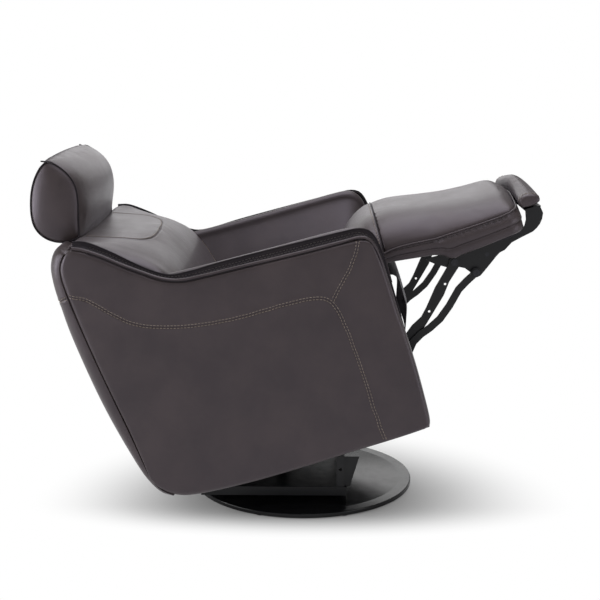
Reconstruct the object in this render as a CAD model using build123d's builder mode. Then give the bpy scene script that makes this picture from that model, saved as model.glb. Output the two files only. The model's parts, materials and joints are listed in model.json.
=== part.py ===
from build123d import *
from math import atan2, cos, degrees, hypot, radians, sin, tan
import os

os.makedirs("parts", exist_ok=True)

# Swivel recliner armchair, modelled reclined with its footrest out.
# World frame: +Z up, the chair faces -Y, the sitter's left is +X.
# The origin is the centre of the base disc on the floor.
# Everything above the tilt hinge is drawn in the chair frame, which is level when the chair
# sits upright: its y runs rearward along the seat and its z runs up.

SIDES = ((1, "left"), (-1, "right"))

# ---------------------------------------------------------------- fits
joint_gap = 0.1        # between timbers butted together
soft_gap = 0.3         # between a soft piece and its neighbour on another body
pin_play = 0.05        # radial play of a pin in its eye
layer_gap = 1.0        # between link plates that slide past each other

# ---------------------------------------------------------------- chair frame
recline_angle = 15.5   # tilt of the chair frame in the modelled pose
chair_datum_y = -20.0
chair_datum_z = 92.5
chair = Plane(origin=(0, chair_datum_y, chair_datum_z)).rotated((-recline_angle, 0, 0))


def side_plane(x):
    """Plane at x whose drawing axes are the chair's rearward and upward directions."""
    return Plane(origin=chair.from_local_coords(Vector(x, 0, 0)), x_dir=chair.y_dir, z_dir=(1, 0, 0))


def front_plane(y):
    """Plane across the chair at y, drawn with x sideways and the chair's up."""
    origin = chair.from_local_coords(Vector(0, y, 0))
    return Plane(origin=origin, x_dir=(1, 0, 0), z_dir=chair.y_dir * -1)


def world_side_plane(x):
    """Plane at x drawn with the world's rearward and upward directions."""
    return Plane(origin=(x, 0, 0), x_dir=(0, 1, 0), z_dir=(1, 0, 0))


def bar_outline(points, width):
    """Draws a flat bar of constant width with round ends that follows the points."""
    for (y0, z0), (y1, z1) in zip(points, points[1:]):
        run = hypot(y1 - y0, z1 - z0)
        with Locations(((y0 + y1) / 2, (z0 + z1) / 2)):
            SlotCenterToCenter(run, width, rotation=degrees(atan2(z1 - z0, y1 - y0)))


# ---------------------------------------------------------------- base disc
disc_radius = 325.0
disc_rim_top = 16.0
disc_wall = 5.0
dome_top = 30.0
dome_radius = 120.0
lip_height = 4.0
shoulder = 34.0        # level band between the cone and the rim
bolt_radius = 10.0     # centre bolt of the swivel

with BuildPart() as base_disc:
    with BuildSketch(Plane.XZ):
        with BuildLine():
            Polyline(
                (bolt_radius, dome_top),
                (dome_radius, dome_top),
                (disc_radius - shoulder, disc_rim_top),
                (disc_radius, disc_rim_top),
                (disc_radius, lip_height),
                (disc_radius - disc_wall, lip_height),
                (disc_radius - disc_wall, disc_rim_top - disc_wall),
                (disc_radius - shoulder, disc_rim_top - disc_wall),
                (dome_radius, dome_top - disc_wall),
                (bolt_radius, dome_top - disc_wall),
                close=True,
            )
        make_face()
    revolve(axis=Axis.Z)
    rim_edges = base_disc.edges().filter_by(GeomType.CIRCLE).group_by(SortBy.RADIUS)[-1]
    fillet(rim_edges.sort_by(Axis.Z)[-1], disc_wall / 2)

glide_count = 8
glide_radius = 13.0
glide_circle = disc_radius - disc_wall - glide_radius - 1
glide_height = disc_rim_top - disc_wall

with BuildPart() as base_glides:
    with PolarLocations(glide_circle, glide_count, start_angle=22.5):
        Cylinder(glide_radius, glide_height, align=(Align.CENTER, Align.CENTER, Align.MIN))

# ---------------------------------------------------------------- swivel bearing
race_inner = 68.0
race_outer = 100.0
race_height = 5.0
ball_radius = 3.5
ball_count = 18
ball_circle = (race_inner + race_outer) / 2
ball_level = dome_top + race_height + ball_radius
upper_race_level = ball_level + ball_radius + pin_play
plate_level = upper_race_level + race_height
plate_thickness = 5.0
bolt_head_radius = 19.0
bolt_head_height = 7.0
bolt_nut_height = 9.0


def race(level):
    """One bearing ring standing on the given level."""
    with BuildPart() as ring:
        with BuildSketch(Plane.XY.offset(level)):
            Circle(race_outer)
            Circle(race_inner, mode=Mode.SUBTRACT)
        extrude(amount=race_height)
    return ring


lower_race = race(dome_top)
upper_race = race(upper_race_level)

with BuildPart() as bearing_balls:
    with Locations((0, 0, ball_level)):
        with PolarLocations(ball_circle, ball_count):
            Sphere(ball_radius)

bolt_bottom = dome_top - disc_wall - bolt_nut_height
bolt_head_level = plate_level + plate_thickness + pin_play
with BuildPart() as swivel_bolt:
    with BuildSketch(Plane.XY.offset(bolt_bottom)):
        Circle(bolt_head_radius)
    extrude(amount=bolt_nut_height)
    with BuildSketch(Plane.XY.offset(bolt_bottom)):
        Circle(bolt_radius)
    extrude(amount=bolt_head_level + bolt_head_height - bolt_bottom)
    with BuildSketch(Plane.XY.offset(bolt_head_level)):
        RegularPolygon(bolt_head_radius, 6)
    extrude(amount=bolt_head_height)

# ---------------------------------------------------------------- swivelling frame
rail_inner = 203.0     # half width between the rails
rail_width = 24.0
rail_height = 26.0
rail_wall = 2.5
rail_bottom = 34.0
rail_front = -126.0
rail_rear = 290.0
rail_top = rail_bottom + rail_height
rail_centre = rail_inner + rail_width / 2
cross_depth = 25.0
plate_front = rail_front + cross_depth
plate_rear = 235.0

with BuildPart() as swivel_plate:
    with BuildSketch(Plane.XY.offset(plate_level)):
        with Locations((0, (plate_front + plate_rear) / 2)):
            Rectangle(2 * rail_inner, plate_rear - plate_front)
        Circle(bolt_radius + pin_play, mode=Mode.SUBTRACT)
    extrude(amount=plate_thickness)


def box_tube(plane, width, height, length):
    """Rectangular tube drawn on the plane and run along its normal."""
    with BuildPart() as tube:
        with BuildSketch(plane):
            Rectangle(width, height)
            Rectangle(width - 2 * rail_wall, height - 2 * rail_wall, mode=Mode.SUBTRACT)
        extrude(amount=length)
    return tube


cross_level = rail_bottom + rail_height / 2
frame_rails = {}
for side, name in SIDES:
    rail_end = Plane(origin=(side * rail_centre, rail_front, cross_level), x_dir=(1, 0, 0), z_dir=(0, 1, 0))
    frame_rails[name] = box_tube(rail_end, rail_width, rail_height, rail_rear - rail_front)


def cross_tube(y):
    start = Plane(origin=(-rail_inner, y, cross_level), x_dir=(0, 1, 0), z_dir=(1, 0, 0))
    return box_tube(start, cross_depth, rail_height, 2 * rail_inner)


front_cross_tube = cross_tube(plate_front - cross_depth / 2)
rear_cross_tube = cross_tube(plate_rear + cross_depth / 2)

# front posts carry the rubber buffers that the seat lands on when it comes upright
post_y = -109.0
post_depth = 23.0
post_width = 20.0
post_top = 150.0
post_hole_radius = 5.0
post_hole_level = 112.0
buffer_height = 9.0
post_face_front = post_y - post_depth / 2
gusset_thickness = 4.0
gusset_foot = 16.0       # the gusset stands this far in front of the post at its foot
gusset_head = 42.0
gusset_drop = 3.0

front_posts = {}
for side, name in SIDES:
    with BuildPart() as post:
        with BuildSketch(Plane.XY.offset(rail_top)):
            with Locations((side * rail_centre, post_y)):
                Rectangle(post_width, post_depth)
                Rectangle(post_width - 2 * rail_wall, post_depth - 2 * rail_wall, mode=Mode.SUBTRACT)
        extrude(amount=post_top - rail_top)
        with BuildSketch(Plane(origin=(side * rail_centre, post_y, post_hole_level), z_dir=(1, 0, 0))):
            Circle(post_hole_radius)
        extrude(amount=post_width, both=True, mode=Mode.SUBTRACT)
        with BuildSketch(world_side_plane(side * rail_centre)):
            with BuildLine():
                Polyline(
                    (post_y, rail_top),
                    (post_face_front - gusset_foot, rail_top),
                    (post_face_front - gusset_head, post_top - gusset_drop),
                    (post_y, post_top - gusset_drop),
                    close=True,
                )
            make_face()
            with Locations((post_y, post_hole_level)):
                Circle(post_hole_radius, mode=Mode.SUBTRACT)
        extrude(amount=gusset_thickness / 2, both=True)
    front_posts[name] = post

with BuildPart() as stop_buffers:
    with BuildSketch(Plane.XY.offset(post_top)):
        for side, name in SIDES:
            with Locations((side * rail_centre, post_y)):
                RectangleRounded(post_width, post_depth, 4)
    extrude(amount=buffer_height)
    fillet(stop_buffers.faces().sort_by(Axis.Z)[-2:].edges(), 2)

# rear hinge that the whole seat tilts on
tilt_pivot_y = 262.0
tilt_pivot_z = 120.0
tilt_pin_radius = 8.0
tilt_eye_radius = 22.0
bracket_inner = 219.0
bracket_thickness = 6.0
bracket_foot = 56.0

tilt_brackets = {}
for side, name in SIDES:
    with BuildPart() as bracket:
        with BuildSketch(world_side_plane(side * (bracket_inner + bracket_thickness / 2))):
            with BuildLine():
                Polyline(
                    (tilt_pivot_y - bracket_foot, rail_top),
                    (rail_rear, rail_top),
                    (tilt_pivot_y + tilt_eye_radius, tilt_pivot_z),
                    (tilt_pivot_y - tilt_eye_radius, tilt_pivot_z),
                    close=True,
                )
            make_face()
            with Locations((tilt_pivot_y, tilt_pivot_z)):
                Circle(tilt_eye_radius)
                Circle(tilt_pin_radius, mode=Mode.SUBTRACT)
        extrude(amount=bracket_thickness / 2, both=True)
    tilt_brackets[name] = bracket

# ---------------------------------------------------------------- layers of flat steel at each side
steel = 5.0
seat_plate_x = bracket_inner + bracket_thickness + layer_gap + steel / 2
carrier_x = seat_plate_x + steel + layer_gap
long_link_x = carrier_x + steel + layer_gap
short_link_x = long_link_x + steel + layer_gap

pin_head = 3.0
tilt_pin_inner = bracket_inner - pin_head * 2
tilt_pin_outer = seat_plate_x + steel / 2 + layer_gap / 2

with BuildPart() as tilt_pins:
    for side, name in SIDES:
        for start, run, radius in (
            (tilt_pin_inner, tilt_pin_outer - tilt_pin_inner + pin_head, tilt_pin_radius),
            (tilt_pin_inner, pin_head * 2, tilt_pin_radius + 5),
            (tilt_pin_outer, pin_head, tilt_pin_radius + 4),
        ):
            with BuildSketch(world_side_plane(side * start)):
                with Locations((tilt_pivot_y, tilt_pivot_z)):
                    Circle(radius)
            extrude(amount=side * run)

# ---------------------------------------------------------------- seat frame
tilt_hinge = chair.to_local_coords(Vector(0, tilt_pivot_y, tilt_pivot_z))
plate_eye_radius = 24.0
carrier_y = -145.0     # pivot of the footrest carrier on the seat frame
carrier_z = 340.0
torque_tube_radius = 12.5
tube_wall = 2.5
deck_z = 368.0         # top of the seat frame, underside of the webbing rails
plate_front_y = -330.0
front_tube_y = -240.0
front_tube_z = 330.0
rear_tube_y = 225.0
rear_tube_z = 285.0
stop_y = -112.0
# height of the stop lug when the upright chair rests on the buffers
stop_z = 142.0
stop_lug_height = 8.0

seat_plates = {}
for side, name in SIDES:
    with BuildPart() as plate:
        with BuildSketch(side_plane(side * seat_plate_x)):
            with BuildLine():
                Polyline(
                    (tilt_hinge.Y + plate_eye_radius, tilt_hinge.Z),
                    (rear_tube_y + 70, deck_z - 25),
                    (rear_tube_y + 50, deck_z),
                    (plate_front_y, deck_z),
                    (plate_front_y, deck_z - 52),
                    (stop_y - 45, carrier_z - 60),
                    (stop_y - 28, stop_z),
                    (stop_y + 28, stop_z),
                    (stop_y + 75, carrier_z - 90),
                    (tilt_hinge.Y - plate_eye_radius * 1.6, tilt_hinge.Z + 25),
                    (tilt_hinge.Y - plate_eye_radius, tilt_hinge.Z),
                    close=True,
                )
            make_face()
            with Locations((tilt_hinge.Y, tilt_hinge.Z)):
                Circle(plate_eye_radius)
                Circle(tilt_pin_radius + pin_play, mode=Mode.SUBTRACT)
            with Locations((carrier_y, carrier_z)):
                Circle(torque_tube_radius + pin_play, mode=Mode.SUBTRACT)
        extrude(amount=steel / 2, both=True)
        # lug turned inward over the buffer
        with BuildSketch(side_plane(side * rail_inner)):
            with Locations((stop_y, stop_z + stop_lug_height / 2)):
                Rectangle(post_depth, stop_lug_height)
        extrude(amount=side * (seat_plate_x - rail_inner))
    seat_plates[name] = plate


def round_tube(x0, x1, y, z, radius):
    """Round tube across the chair from x0 to x1."""
    with BuildPart() as tube:
        with BuildSketch(side_plane(x0)):
            with Locations((y, z)):
                Circle(radius)
                Circle(radius - tube_wall, mode=Mode.SUBTRACT)
        extrude(amount=x1 - x0)
    return tube


plate_inner = seat_plate_x - steel / 2
seat_front_tube = round_tube(-plate_inner, plate_inner, front_tube_y, front_tube_z, torque_tube_radius)
seat_rear_tube = round_tube(-plate_inner, plate_inner, rear_tube_y, rear_tube_z, torque_tube_radius)

# ---------------------------------------------------------------- footrest linkage
front_hinge_y = -310.0     # carrier to long link
front_hinge_z = 320.0
footrest_hinge_y = -548.0  # long link to footrest bracket
footrest_hinge_z = 495.0
link_spread_y = -50.0      # from each long link pivot to the short link pivot beside it
link_spread_z = -42.0
link_pin_radius = 6.0
long_link_width = 30.0
short_link_width = 20.0

carrier_pivot = (carrier_y, carrier_z)
long_lower = (front_hinge_y, front_hinge_z)
long_upper = (footrest_hinge_y, footrest_hinge_z)
short_lower = (front_hinge_y + link_spread_y, front_hinge_z + link_spread_z)
short_upper = (footrest_hinge_y + link_spread_y, footrest_hinge_z + link_spread_z)

carrier_outer = carrier_x + steel / 2
torque_tube = round_tube(-carrier_outer, carrier_outer, carrier_y, carrier_z, torque_tube_radius)

carrier_links = {}
for side, name in SIDES:
    with BuildPart() as link:
        with BuildSketch(side_plane(side * carrier_x)):
            with Locations(carrier_pivot):
                Circle(torque_tube_radius + 9)
            with Locations(long_lower, short_lower):
                Circle(long_link_width / 2)
            make_hull()
            with Locations(carrier_pivot):
                Circle(torque_tube_radius, mode=Mode.SUBTRACT)
            with Locations(long_lower, short_lower):
                Circle(link_pin_radius, mode=Mode.SUBTRACT)
        extrude(amount=steel / 2, both=True)
    carrier_links[name] = link

# the long bar widens towards the footrest: its two edges between the round ends
long_link_edges = (
    (-372.0, 337.0),
    (-392.0, 354.0),
    (-423.0, 371.0),
    (-443.0, 393.0),
    (-480.0, 441.0),
    (-524.0, 486.0),
    (-538.0, 503.0),
    (-558.0, 481.0),
    (-521.0, 446.0),
    (-498.0, 414.0),
    (-428.0, 344.0),
    (-400.0, 322.0),
    (-374.0, 312.0),
)
# bends of the short bar between its pivots
short_link_path = (
    short_lower,
    (-384.0, 309.0),
    (-410.0, 325.0),
    (-437.0, 335.0),
    (-471.0, 353.0),
    (-505.0, 382.0),
    (-541.0, 420.0),
    (-568.0, 437.0),
    short_upper,
)
long_link_holes = ((-448.0, 380.0), (-509.0, 443.0))


long_links = {}
short_links = {}
for side, name in SIDES:
    with BuildPart() as bar:
        with BuildSketch(side_plane(side * long_link_x)):
            with Locations(long_lower, long_upper):
                Circle(long_link_width / 2)
            with BuildLine():
                Polyline(
                    (long_lower[0], long_lower[1] + long_link_width / 2),
                    *long_link_edges,
                    (long_lower[0], long_lower[1] - long_link_width / 2),
                    close=True,
                )
            make_face()
            with Locations(long_lower, long_upper):
                Circle(link_pin_radius + pin_play, mode=Mode.SUBTRACT)
            with Locations(*long_link_holes):
                Circle(3.5, mode=Mode.SUBTRACT)
        extrude(amount=steel / 2, both=True)
    long_links[name] = bar
    with BuildPart() as bar:
        with BuildSketch(side_plane(side * short_link_x)):
            bar_outline(short_link_path, short_link_width)
            with Locations(short_lower, short_upper):
                Circle(short_link_width / 2 + 3)
            with Locations(short_lower, short_upper):
                Circle(link_pin_radius + pin_play, mode=Mode.SUBTRACT)
        extrude(amount=steel / 2, both=True)
    short_links[name] = bar


def rivet(side, centre, flush_x, outer_x, spacer_from, spacer_to):
    """Rivet from flush_x to a head beyond outer_x, with a spacer bush where a gap is left."""
    with BuildPart() as pin:
        for start, end, radius in (
            (flush_x, outer_x + pin_head, link_pin_radius),
            (outer_x, outer_x + pin_head, link_pin_radius + 4),
            (spacer_from, spacer_to, link_pin_radius + 3),
        ):
            if end != start:
                with BuildSketch(side_plane(side * start)):
                    with Locations(centre):
                        Circle(radius)
                extrude(amount=side * (end - start))
    return pin.part


def group(parts):
    """Several separate solids in one builder."""
    with BuildPart() as together:
        for one in parts:
            add(one)
    return together


head_gap = layer_gap / 2
near_face = carrier_x - steel / 2
spacer_start = carrier_x + steel / 2
spacer_end = short_link_x - steel / 2 - head_gap
long_head = long_link_x + steel / 2 + head_gap
short_head = short_link_x + steel / 2 + head_gap

rivets = []
for side, name in SIDES:
    rivets.append(rivet(side, long_lower, near_face, long_head, 0, 0))
    rivets.append(rivet(side, short_lower, near_face, short_head, spacer_start, spacer_end))
carrier_rivets = group(rivets)

# slotted crank on the torque tube, worked by the footrest actuator
crank_x = -100.0
crank_thickness = 8.0
crank_half_swing = 40.0
slot_drop = 61.0       # actuator line below the carrier pivot
slot_play = 4.5
drive_pin_radius = 6.0
slot_reach = slot_drop / cos(radians(crank_half_swing))
crank_angle = -90.0 - crank_half_swing
crank_dir = (cos(radians(crank_angle)), sin(radians(crank_angle)))
slot_run = slot_reach - slot_drop
slot_end = (carrier_y + crank_dir[0] * slot_reach, carrier_z + crank_dir[1] * slot_reach)
slot_middle = (slot_end[0] - crank_dir[0] * slot_run / 2, slot_end[1] - crank_dir[1] * slot_run / 2)
slot_width = 2 * (drive_pin_radius + slot_play)

with BuildPart() as crank_arm:
    with BuildSketch(side_plane(crank_x)):
        with Locations(carrier_pivot):
            Circle(torque_tube_radius + 8)
        with Locations(slot_end):
            Circle(slot_width / 2 + 8)
        make_hull()
        with Locations(carrier_pivot):
            Circle(torque_tube_radius, mode=Mode.SUBTRACT)
        with Locations(slot_middle):
            SlotCenterToCenter(slot_run, slot_width, rotation=crank_angle, mode=Mode.SUBTRACT)
    extrude(amount=crank_thickness / 2, both=True)

# footrest actuator: its housing hangs on the rear tube and its rod pulls the crank
actuator_line_z = carrier_z - slot_drop
drive_pin_y = carrier_y - slot_drop * tan(radians(crank_half_swing))
drive_stroke = 2 * slot_drop * tan(radians(crank_half_swing))
housing_radius = 22.0
rod_radius = 8.0
fork_reach = 40.0
fork_slot = 34.0
fork_nose = 10.0
housing_front = drive_pin_y + drive_stroke + fork_reach + 5
housing_rear = rear_tube_y - torque_tube_radius
rod_rear = housing_rear - drive_stroke - 25
fork_gap = 1.0

with BuildPart() as footrest_motor:
    with BuildSketch(front_plane(housing_rear)):
        with Locations((crank_x, actuator_line_z)):
            Circle(housing_radius)
    extrude(amount=housing_rear - housing_front)
    with BuildSketch(front_plane(housing_rear - 20)):
        with Locations((crank_x, actuator_line_z - housing_radius * 1.6)):
            Circle(housing_radius * 0.9)
    extrude(amount=110)
    with BuildSketch(front_plane(housing_rear - 20)):
        with Locations((crank_x, actuator_line_z - housing_radius)):
            Rectangle(housing_radius, housing_radius * 1.6)
    extrude(amount=45)
    with BuildSketch(front_plane(housing_front)):
        with Locations((crank_x, actuator_line_z)):
            Circle(rod_radius + pin_play)
    extrude(amount=-(housing_rear - 15 - housing_front), mode=Mode.SUBTRACT)

with BuildPart() as footrest_rod:
    with BuildSketch(front_plane(rod_rear)):
        with Locations((crank_x, actuator_line_z)):
            Circle(rod_radius)
    extrude(amount=rod_rear - (drive_pin_y + fork_slot))
    fork_half = crank_thickness / 2 + fork_gap
    with BuildSketch(front_plane(drive_pin_y + fork_reach)):
        with Locations((crank_x, actuator_line_z)):
            Rectangle(2 * (fork_half + 4), 2 * rod_radius)
    extrude(amount=fork_reach + fork_nose)
    with BuildSketch(front_plane(drive_pin_y + fork_slot)):
        with Locations((crank_x, actuator_line_z)):
            Rectangle(2 * fork_half, 2 * rod_radius)
    extrude(amount=fork_slot + fork_nose, mode=Mode.SUBTRACT)
    with BuildSketch(side_plane(crank_x)):
        with Locations((drive_pin_y, actuator_line_z)):
            Circle(drive_pin_radius)
    extrude(amount=fork_half + 4, both=True)

# ---------------------------------------------------------------- footrest
board_bottom = 524.0
board_thickness = 12.0
board_rear = -375.0
board_front = -720.0
board_half_width = 250.0
pad_half_width = 262.0
pad_rear = board_rear + 3
pad_front = -752.0
pad_top_rear = 670.0
pad_top_front = 646.0
board_top = board_bottom + board_thickness
flipper_hinge = (-640.0, 492.0)

with BuildPart() as footrest_board:
    with BuildSketch(front_plane(board_rear)):
        with Locations((0, board_bottom + board_thickness / 2)):
            Rectangle(2 * board_half_width, board_thickness)
    extrude(amount=board_rear - board_front)

with BuildPart() as footrest_cushion:
    with BuildSketch(side_plane(0)):
        with BuildLine():
            Polyline(
                (pad_rear, board_top),
                (pad_rear, pad_top_rear),
                (pad_rear - 80, pad_top_rear + 4),
                (pad_rear - 200, pad_top_rear - 16),
                (pad_front + 46, pad_top_front),
                (pad_front + 14, pad_top_front - 44),
                (pad_front, board_top),
                close=True,
            )
        make_face()
    extrude(amount=pad_half_width, both=True)
    sides = footrest_cushion.faces().filter_by(Axis.X)
    upper = pad_top_front - 20
    top_edges = sides.edges().filter_by(lambda e: chair.to_local_coords(e.center()).Z > upper)
    fillet(top_edges, 22)

bracket_profile = (
    (-470.0, board_bottom),
    (-712.0, board_bottom),
    (-701.0, 505.0),
    (-664.0, 481.0),
    (-630.0, 455.0),
    (-608.0, 439.0),
    (-590.0, 438.0),
    (-583.0, 457.0),
    (-572.0, 471.0),
    (-556.0, 479.0),
    (-530.0, 483.0),
    (-496.0, 504.0),
)
footrest_brackets = {}
for side, name in SIDES:
    with BuildPart() as bracket:
        with BuildSketch(side_plane(side * carrier_x)):
            with BuildLine():
                Polyline(*bracket_profile, close=True)
            make_face()
            fillet(vertices(), 3)
            with Locations(long_upper, short_upper, flipper_hinge):
                Circle(link_pin_radius, mode=Mode.SUBTRACT)
        extrude(amount=steel / 2, both=True)
    footrest_brackets[name] = bracket

flipper_x = seat_plate_x
flipper_head = flipper_x - steel / 2 - head_gap
rivets = []
for side, name in SIDES:
    rivets.append(rivet(side, long_upper, near_face, long_head, 0, 0))
    rivets.append(rivet(side, short_upper, near_face, short_head, spacer_start, spacer_end))
    rivets.append(rivet(-side, flipper_hinge, -spacer_start, -flipper_head, 0, 0))
footrest_rivets = group(rivets)

# ---------------------------------------------------------------- foot pad on its curved arms
foot_pad_plate_z = 580.0
foot_pad_half_width = 238.0
foot_pad_rear = -757.0
foot_pad_front = -822.0
foot_pad_top = 652.0
flipper_width = 26.0
flipper_foot_y = -790.0
# edges of the curved arm, from above the hinge out to the foot plate and back
flipper_edges = (
    (-690.0, 514.0),
    (-730.0, 523.0),
    (-749.0, 531.0),
    (-758.0, 542.0),
    (-765.0, 556.0),
    (-769.0, foot_pad_plate_z),
    (-811.0, foot_pad_plate_z),
    (-814.0, 562.0),
    (-808.0, 547.0),
    (-799.0, 535.0),
    (-788.0, 526.0),
    (-775.0, 519.0),
    (-741.0, 512.0),
    (-713.0, 505.0),
    (-690.0, 490.0),
)

foot_plate_depth = 44.0
foot_plate_thickness = 4.0

with BuildPart() as flipper_bracket:
    for side, name in SIDES:
        with BuildSketch(side_plane(side * flipper_x)):
            with Locations(flipper_hinge):
                Circle(flipper_width / 2)
            with BuildLine():
                Polyline(
                    (flipper_hinge[0], flipper_hinge[1] + flipper_width / 2),
                    *flipper_edges,
                    (flipper_hinge[0], flipper_hinge[1] - flipper_width / 2),
                    close=True,
                )
            make_face()
            with Locations(flipper_hinge):
                Circle(link_pin_radius + pin_play, mode=Mode.SUBTRACT)
        extrude(amount=steel / 2, both=True)
    with BuildSketch(side_plane(0)):
        with Locations((flipper_foot_y, foot_pad_plate_z)):
            Rectangle(foot_plate_depth, foot_plate_thickness, align=(Align.CENTER, Align.MIN))
    extrude(amount=flipper_x + steel / 2, both=True)

with BuildPart() as foot_pad:
    with BuildSketch(side_plane(0)):
        with BuildLine():
            Polyline(
                (foot_pad_front + 8, foot_pad_plate_z + foot_plate_thickness),
                (foot_pad_front, foot_pad_plate_z + 16),
                (foot_pad_front + 22, foot_pad_top - 10),
                (foot_pad_front + 46, foot_pad_top),
                (foot_pad_rear + 16, foot_pad_top - 8),
                (foot_pad_rear, foot_pad_plate_z + foot_plate_thickness),
                close=True,
            )
        make_face()
    extrude(amount=foot_pad_half_width, both=True)

# ---------------------------------------------------------------- seat upholstery
seat_half_width = 268.0
rail_thickness = 18.0
seat_rail_top = deck_z + 14
seat_front_y = -350.0
seat_rear_y = 120.0
seat_top = 488.0

toe_in = 3.0             # the side panels close up towards the rear
side_half_width = 418.0  # outer face at the chair frame's y = 0
skin = 8.0               # padded leather skin over the board
board = 16.0             # side boards


def inner_face(y, inset):
    """Half width at y of the plane that lies inset inside the side panel's outer face."""
    return side_half_width - inset / cos(radians(toe_in)) - y * tan(radians(toe_in))


liner_inset = skin + board + soft_gap
rear_rail_y = rear_tube_y + 20


def across_rail(y):
    """Timber rail that runs across the chair from side board to side board."""
    with BuildPart() as rail:
        with BuildSketch(side_plane(0)):
            with Locations((y, (deck_z + seat_rail_top) / 2)):
                Rectangle(2 * rail_thickness, seat_rail_top - deck_z)
        extrude(amount=inner_face(y + rail_thickness, liner_inset), both=True)
    return rail


seat_rail_front = across_rail(plate_front_y)
seat_rail_rear = across_rail(rear_rail_y)
side_rail_start = plate_front_y + rail_thickness + joint_gap
side_rail_end = rear_rail_y - rail_thickness - joint_gap
seat_rails = {}
for side, name in SIDES:
    with BuildPart() as rail:
        with BuildSketch(front_plane(side_rail_end)):
            with Locations((side * (seat_plate_x + 12), (deck_z + seat_rail_top) / 2)):
                Rectangle(48, seat_rail_top - deck_z)
        extrude(amount=side_rail_end - side_rail_start)
    seat_rails[name] = rail

webbing_count = 6
webbing_width = 50.0
webbing_thickness = 2.0
webbing_pitch = (seat_rear_y - seat_front_y - 60) / webbing_count
with BuildPart() as seat_webbing:
    for i in range(webbing_count):
        strap_y = seat_front_y + 40 + webbing_pitch * (i + 0.5)
        with BuildSketch(side_plane(0)):
            with Locations((strap_y, seat_rail_top + webbing_thickness / 2)):
                Rectangle(webbing_width, webbing_thickness)
        extrude(amount=seat_plate_x + 30, both=True)

seat_bottom = seat_rail_top + webbing_thickness
bridge_rear = -228.0   # where the bridging leather lifts off the seat
back_foot_y = 96.0     # front of the back cushion at seat level
with BuildPart() as seat_cushion:
    with BuildSketch(side_plane(0)):
        with BuildLine():
            Polyline(
                (seat_front_y, seat_bottom),
                (seat_front_y, seat_top - 22),
                (seat_front_y + 22, seat_top),
                (bridge_rear, seat_top),
                (-100, seat_top - 4),
                (back_foot_y, seat_top - 18),
                (back_foot_y + 24, seat_bottom),
                close=True,
            )
        make_face()
    extrude(amount=seat_half_width, both=True)

# leather that bridges from the seat up to the raised footrest
bridge_front = pad_rear + 3.5
with BuildPart() as seat_bridge:
    with BuildSketch(side_plane(0)):
        with BuildLine():
            Polyline(
                (bridge_rear, seat_top),
                (-256, 566),
                (-300, 626),
                (-340, 656),
                (bridge_front, 664),
                (bridge_front, 556),
                (seat_front_y + 24, seat_top),
                close=True,
            )
        make_face()
    extrude(amount=pad_half_width - 4, both=True)

# dark cloth flap that bulges out in front of the mechanism
flap_front = -396.0
with BuildPart() as front_flap:
    with BuildSketch(side_plane(0)):
        with BuildLine():
            Polyline(
                (seat_front_y, 500),
                (flap_front + 12, 497),
                (flap_front + 1, 474),
                (flap_front, 412),
                (flap_front + 16, 350),
                (seat_front_y - 12, 332),
                (seat_front_y, 332),
                close=True,
            )
        make_face()
    extrude(amount=205, both=True)

# ---------------------------------------------------------------- sides
side_front = -370.0
side_bottom_front = 117.0
side_bottom_mid = 90.0
side_bottom_mid_y = 150.0
side_bottom_rear_y = 335.0
arm_nose = 48.0        # where the arm's straight top edge begins behind the front
arm_front_z = 656.0
arm_rear_y = 160.0
arm_rear_z = 667.0
wing_top_y = 392.0
wing_top_z = 822.0
side_rear_top_y = 472.0
side_rear_mid_y = 470.0
side_rear_mid_z = 680.0
side_rear_bottom_y = 398.0
side_rear_bottom_z = 160.0


def toed_plane(side, inset):
    """Side panel's plane moved inward by inset; it is drawn in the chair's y and z."""
    half = inner_face(0, inset)
    rearward = (-side * sin(radians(toe_in)), cos(radians(toe_in)), 0)
    normal = (cos(radians(toe_in)), side * sin(radians(toe_in)), 0)
    local = Plane(origin=(side * half, 0, 0), x_dir=rearward, z_dir=normal)
    return Plane(chair.location * local.location)


side_outline = (
    (side_front, side_bottom_front),
    (side_bottom_mid_y, side_bottom_mid),
    (side_bottom_rear_y, side_bottom_mid + 8),
    (side_rear_bottom_y, side_rear_bottom_z),
    (side_rear_mid_y, side_rear_mid_z),
    (side_rear_top_y - 4, wing_top_z - 35),
    (side_rear_top_y - 40, wing_top_z),
    (wing_top_y, wing_top_z - 6),
    (arm_rear_y, arm_rear_z),
    (side_front + arm_nose, arm_front_z),
    (side_front + 14, arm_front_z - 26),
    (side_front, arm_front_z - 110),
)
board_inset = 12.0

side_panels = {}
side_boards = {}
for side, name in SIDES:
    with BuildPart() as panel:
        with BuildSketch(toed_plane(side, 0)):
            with BuildLine():
                Polyline(*side_outline, close=True)
            make_face()
        extrude(amount=-side * skin)
    side_panels[name] = panel
    with BuildPart() as inner_board:
        with BuildSketch(toed_plane(side, skin)):
            with BuildLine():
                Polyline(*side_outline, close=True)
            make_face()
            offset(amount=-board_inset, mode=Mode.REPLACE)
        extrude(amount=-side * board)
    side_boards[name] = inner_board

# padded inner arms, thick at the seat and thin at the top
crown = 24.0           # inner arm's roll above the side panel's top edge
liner_front = side_front + 10
liner_rear = arm_rear_y + 20


def arm_line_z(y):
    """Height of the side panel's straight arm edge at y."""
    start = side_front + arm_nose
    return arm_front_z + (arm_rear_z - arm_front_z) * (y - start) / (arm_rear_y - start)


def liner_profile(y, side):
    """Corners of the arm padding's cross section at y."""
    outer = inner_face(y, liner_inset)
    liner_top = arm_line_z(y) + crown
    return (
        (side * (seat_half_width + soft_gap), seat_bottom),
        (side * outer, seat_bottom),
        (side * outer, liner_top),
        (side * (outer - 12), liner_top),
        (side * (outer - 34), liner_top - 30),
        (side * (seat_half_width + 14), seat_top + 30),
    )


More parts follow.
